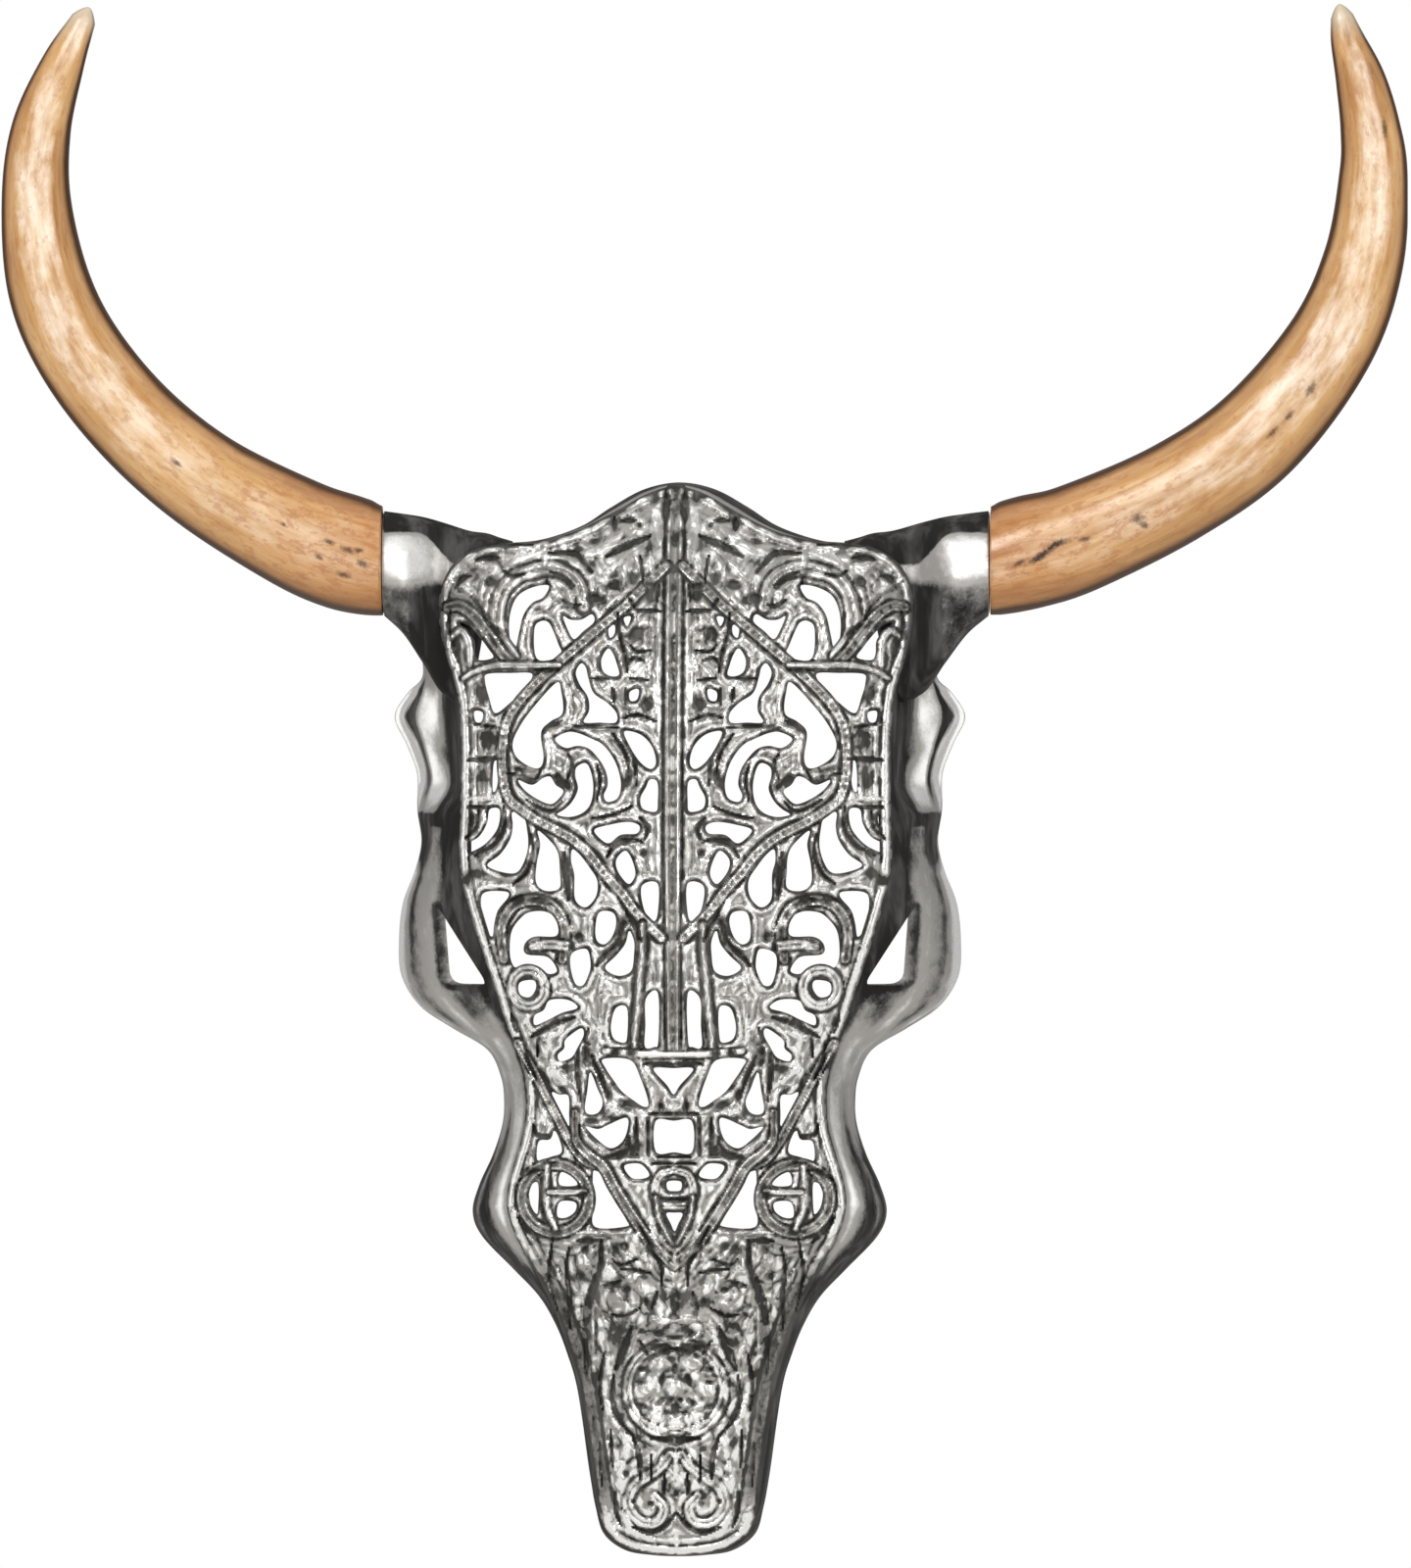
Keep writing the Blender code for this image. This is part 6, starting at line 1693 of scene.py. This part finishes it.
@dataclass
class Horns:
    """The two bent wooden horns with their round tenons."""

    sides: int = 72
    spacing: float = 1.9
    straight: float = 12.0
    tip_length: float = 4.9
    tip_power: float = 0.62
    edge_round: float = 0.5
    tenon_chamfer: float = 1.0
    tenon_drop: float = 8.3
    grain_apart: float = 150.0
    margin: float = 0.02

    def root(self, first: Array, side: int, joint: float) -> Array:
        """Makes the tenon and the rounded edge where the horn starts.

        Args:
            first: The horn's first centre (x, depth, z, radius).
            side: -1 on the left, 1 on the right.
            joint: How far out the horn's joint is.

        Returns:
            Seven centres with their radii.
        """
        turn = np.linspace(0, math.pi / 2, 5)[:-1]
        root = np.repeat(first[None], len(turn) + 3, axis=0)
        root[3:, 0] += side * self.edge_round * (1 - np.cos(turn))
        root[3:, 3] -= self.edge_round * (1 - np.sin(turn))
        tenon, end = BORE_RADIUS - GAP, joint - TENON_LENGTH
        root[:3, 3] = (tenon - self.tenon_chamfer, tenon, tenon)
        root[:2, 0] = (side * end, side * (end + self.tenon_chamfer))
        return root

    def rings(self, stations: tuple[Place, ...], side: int, joint: float) -> tuple[Array, Array, Array]:
        """Carries a round section along the horn's centre line.

        Args:
            stations: Centre line points (x, depth, z) with the radius there.
            side: -1 on the left, 1 on the right.
            joint: How far out the horn's joint is.

        Returns:
            The rings, shape (rings, sides, 3), the length travelled at each, and the radius at each.
        """
        path = curve_through(np.array(stations), 16)
        length = np.concatenate([[0], np.cumsum(np.linalg.norm(np.diff(path[:, :3], axis=0), axis=1))])
        at = np.linspace(0, length[-1], int(length[-1] / self.spacing))
        centre = np.column_stack([np.interp(at, length, path[:, k]) for k in range(4)])
        along = np.gradient(centre[:, :3], axis=0)
        along /= np.linalg.norm(along, axis=1)[:, None]
        straight = smooth_step(at, 0, self.straight)[:, None]
        along = (1 - straight) * np.array([[float(side), 0, 0]]) + straight * along
        along /= np.linalg.norm(along, axis=1)[:, None]
        centre[0, 0] = side * (joint + GAP)
        root = self.root(centre[0], side, joint)
        past = np.sin(np.linspace(0, math.pi / 2, 9))[1:-1] * self.tip_length
        tip = np.repeat(centre[-1:], len(past), axis=0)
        tip[:, :3] += along[-1] * past[:, None]
        tip[:, 3] *= (1 - past / self.tip_length)**self.tip_power
        rows = np.vstack([root, centre[1:], tip])
        first, last = np.repeat(along[:1], len(root), axis=0), np.repeat(along[-1:], len(tip), axis=0)
        heading = np.vstack([first, along[1:], last])
        travelled = np.concatenate([root[:, 0] * side - joint, at[1:], at[-1] + past])
        forward = np.array([[0.0, 1.0, 0.0]]) - heading * heading[:, 1:2]
        forward /= np.linalg.norm(forward, axis=1)[:, None]
        upward = np.cross(heading, forward)
        angle = round_angles(self.sides)[None, :, None]
        circle = np.cos(angle) * forward[:, None, :] + np.sin(angle) * upward[:, None, :]
        points = rows[:, None, :3] + rows[:, None, 3:] * circle
        rings = np.dstack([points[:, :, 0], -points[:, :, 1], points[:, :, 2]])
        tenon_rings = np.dstack([np.abs(rings[:3, :, 0]), rings[:3, :, 1:]])
        rings[:3, :, 1] = under_border(tenon_rings, self.tenon_drop)
        return rings, travelled, rows[:, 3]

    def build(self, material: bpy.types.Material) -> None:
        """Makes and dresses both horns; the grain attribute is (r cos a, r sin a, length travelled).

        Args:
            material: The wood's finish.
        """
        angle = round_angles(self.sides)[None, :]
        for name, (side, joint) in JOINTS.items():
            rings, travelled, radius = self.rings(HORNS[name], side, joint)
            # The stored brightness is |cos a|, how far each point faces the front or back; the wood's
            # painted highlight and shade follow it
            surface = skinned_rings(rings, np.abs(np.cos(angle)) + 0 * travelled[:, None])
            along = travelled[:, None] + 0 * angle
            grain = np.dstack([radius[:, None] * np.cos(angle), radius[:, None] * np.sin(angle), along])
            poles = [[0, 0, along[0, 0]], [0, 0, along[-1, 0]]]
            apart = np.array([self.grain_apart * side, 0, 0])
            surface.grain = np.vstack([grain.reshape(-1, 3), poles]) + apart
            low, high = (PER_METRE * np.array(corner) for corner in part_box(f"horn_{name}"))
            surface.vertices = np.clip(surface.vertices, low + self.margin, high - self.margin)
            dress(surface.build(f"turned_horn_{name}", 40), material, "varnished_wood", f"horn_{name}")


@dataclass
class HangerLugs:
    """The two small lugs cast behind the crown, each with its screw hole."""

    x: float = 15.0
    width: float = 8.0
    top: float = 12.0
    bottom: float = -5.0
    front: float = 12.0
    back: float = 4.1
    hole: float = 1.8
    pitch: float = 0.4
    beyond: float = 1.0
    tones: Span = (0.3, 0.4)

    def build(self, material: bpy.types.Material) -> None:
        """Makes each lug as a plate with one opening.

        Args:
            material: The casting's finish.
        """
        half, past = self.width / 2, self.beyond
        middle, tall = (self.top + self.bottom) / 2, (self.top - self.bottom) / 2
        across = np.arange(-half - past, half + past + 0.01, self.pitch)
        levels = np.arange(self.bottom - past, self.top + past + 0.01, self.pitch)
        u, z = np.meshgrid(across, levels, indexing="ij")
        block = np.maximum(np.abs(u) - half, np.abs(z - middle) - tall)
        gap = np.maximum(block, self.hole - np.hypot(u, z)) / self.pitch
        front_tone, back_tone = self.tones
        for name, (side, _) in JOINTS.items():
            x = side * self.x + u
            front, back = np.dstack([x, 0 * x - self.front, z]), np.dstack([x, 0 * x - self.back, z])
            surface = open_slab(gap, front, back, 0 * x + front_tone, back_tone)
            dress(surface.build(f"hanger_lug_{name}", 40), material, *CASTING)


@dataclass
class Studio:
    """The white studio: camera, floor, lights (name, place, size, power) and surroundings."""

    middle: Place = (0.0108, -0.05, -0.0918)
    frame_height: float = 0.576
    distance: float = 7.0
    farthest: float = 50.0
    azimuth: float = 1.5
    sensor: float = 36.0
    floor_height: float = -0.47
    floor_reach: float = 0.75
    floor_greys: tuple[Place, Place] = ((0.8, 0.79, 0.77, 1), (0.86, 0.85, 0.83, 1))
    floor_rough: float = 0.8
    lamps: tuple[tuple[str, Place, float, float], ...] = (
        ("key", (-0.9, -1.8, 1.1), 0.9, 26), ("fill", (1.3, -1.6, 0.2), 0.8, 12))

    def camera(self) -> None:
        """Stands the camera level and far off, a little to the skull's right."""
        lens = bpy.data.cameras.new("camera")
        lens.sensor_width = self.sensor
        lens.lens = self.sensor * self.distance / self.frame_height
        lens.clip_end = self.farthest
        camera = put_in_scene("camera", lens)
        angle = math.radians(self.azimuth)
        x, y, z = self.middle
        camera.location = (x + self.distance * math.sin(angle), y - self.distance * math.cos(angle), z)
        camera.rotation_euler = (math.pi / 2, 0, angle)
        bpy.context.scene.camera = camera

    def floor(self) -> None:
        """Lays a pale floor below the skull."""
        mesh = bpy.data.meshes.new("floor")
        r, z = self.floor_reach, self.floor_height
        mesh.from_pydata([(-r, -r, z), (r, -r, z), (r, r, z), (-r, r, z)], [], [(0, 1, 2, 3)])
        material, board, shader = new_material("floor")
        cloud = board.noise(board.place(), scale=3)
        board.coat(shader, Base_Color=board.blend(cloud, *self.floor_greys), Roughness=self.floor_rough)
        mesh.materials.append(material)
        put_in_scene("floor", mesh)

    def light(self, name: str, place: Place, size: float, power: float) -> None:
        """Hangs a square soft light that faces the skull.

        Args:
            name: The light's name.
            place: Where it hangs.
            size: Its side.
            power: Its power.
        """
        data = bpy.data.lights.new(name, 'AREA')
        data.size = size
        data.energy = power
        lamp = put_in_scene(name, data)
        lamp.location = place
        aim = np.array(place) - np.array(self.middle)
        flat = math.hypot(aim[0], aim[1])
        lamp.rotation_euler = (math.atan2(flat, aim[2]), 0, math.atan2(aim[0], -aim[1]))

    def surroundings(self) -> None:
        """Surrounds the skull with a bright front, dark sides and a white backdrop for the camera alone."""
        world = bpy.data.worlds.new("studio")
        world.use_nodes = True
        bpy.context.scene.world = world
        board = Board(world.node_tree)
        direction = board.node("ShaderNodeTexCoord", output="Generated")
        forward, upward = board.part(direction, "Y"), board.part(direction, "Z")
        bright = (board.step(forward, -0.9, -0.4, 1.1, 0.2) + board.step(forward, -0.3, 0.0, 0.0, 1.0)
                  + board.step(forward, 0.25, 0.6, 0.0, -1.1) + board.step(forward, 0.6, 1.0, 0.0, 0.3)
                  + board.step(upward, 0.2, 0.9, 0.0, 0.2))
        seen = board.node("ShaderNodeLightPath", output="Is Camera Ray")
        background = world.node_tree.nodes["Background"]
        board.coat(background, Color=(1, 1, 1, 1), Strength=bright * (1 - seen) + seen * 1.0)

    def build(self) -> None:
        """Sets up the studio."""
        self.camera()
        self.floor()
        for lamp in self.lamps:
            self.light(*lamp)
        self.surroundings()
        bpy.context.scene.view_settings.view_transform = 'Standard'


def dress_node(node: str, material: bpy.types.Material) -> None:
    """Gives a carried-over solid its finish.

    Args:
        node: The solid's name.
        material: Its finish.
    """
    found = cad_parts[node]
    found.data.materials.clear()
    found.data.materials.append(material)


def main() -> None:
    """Builds the skull's pieces, its finishes and the studio."""
    logging.basicConfig(level=logging.INFO, format="%(message)s")
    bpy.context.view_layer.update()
    carved = CastAluminium("carved_aluminium", 0.36, 0.9, (0.036, 0.035, 0.032, 1)).material()
    casting = CastAluminium("smooth_aluminium", 0.0, 0.6, (0.012, 0.0115, 0.011, 1)).material()
    wood = VarnishedWood().material()
    zinc = PlainSteel("zinc_plate", (0.62, 0.61, 0.58), 0.35).material()
    steel = PlainSteel("screw_steel", (0.45, 0.45, 0.45), 0.3).material()
    sockets = Sockets()
    Openwork(Relief()).build(carved)
    SideWall().build(casting, sockets)
    sockets.build(casting)
    HangerLugs().build(casting)
    Horns().build(wood)
    dress_node("hanger_plate", zinc)
    for node in ("horn_screw_left", "horn_screw_right", "hanger_screw_left", "hanger_screw_right"):
        dress_node(node, steel)
    Studio().build()


if __name__ == "__main__":
    main()
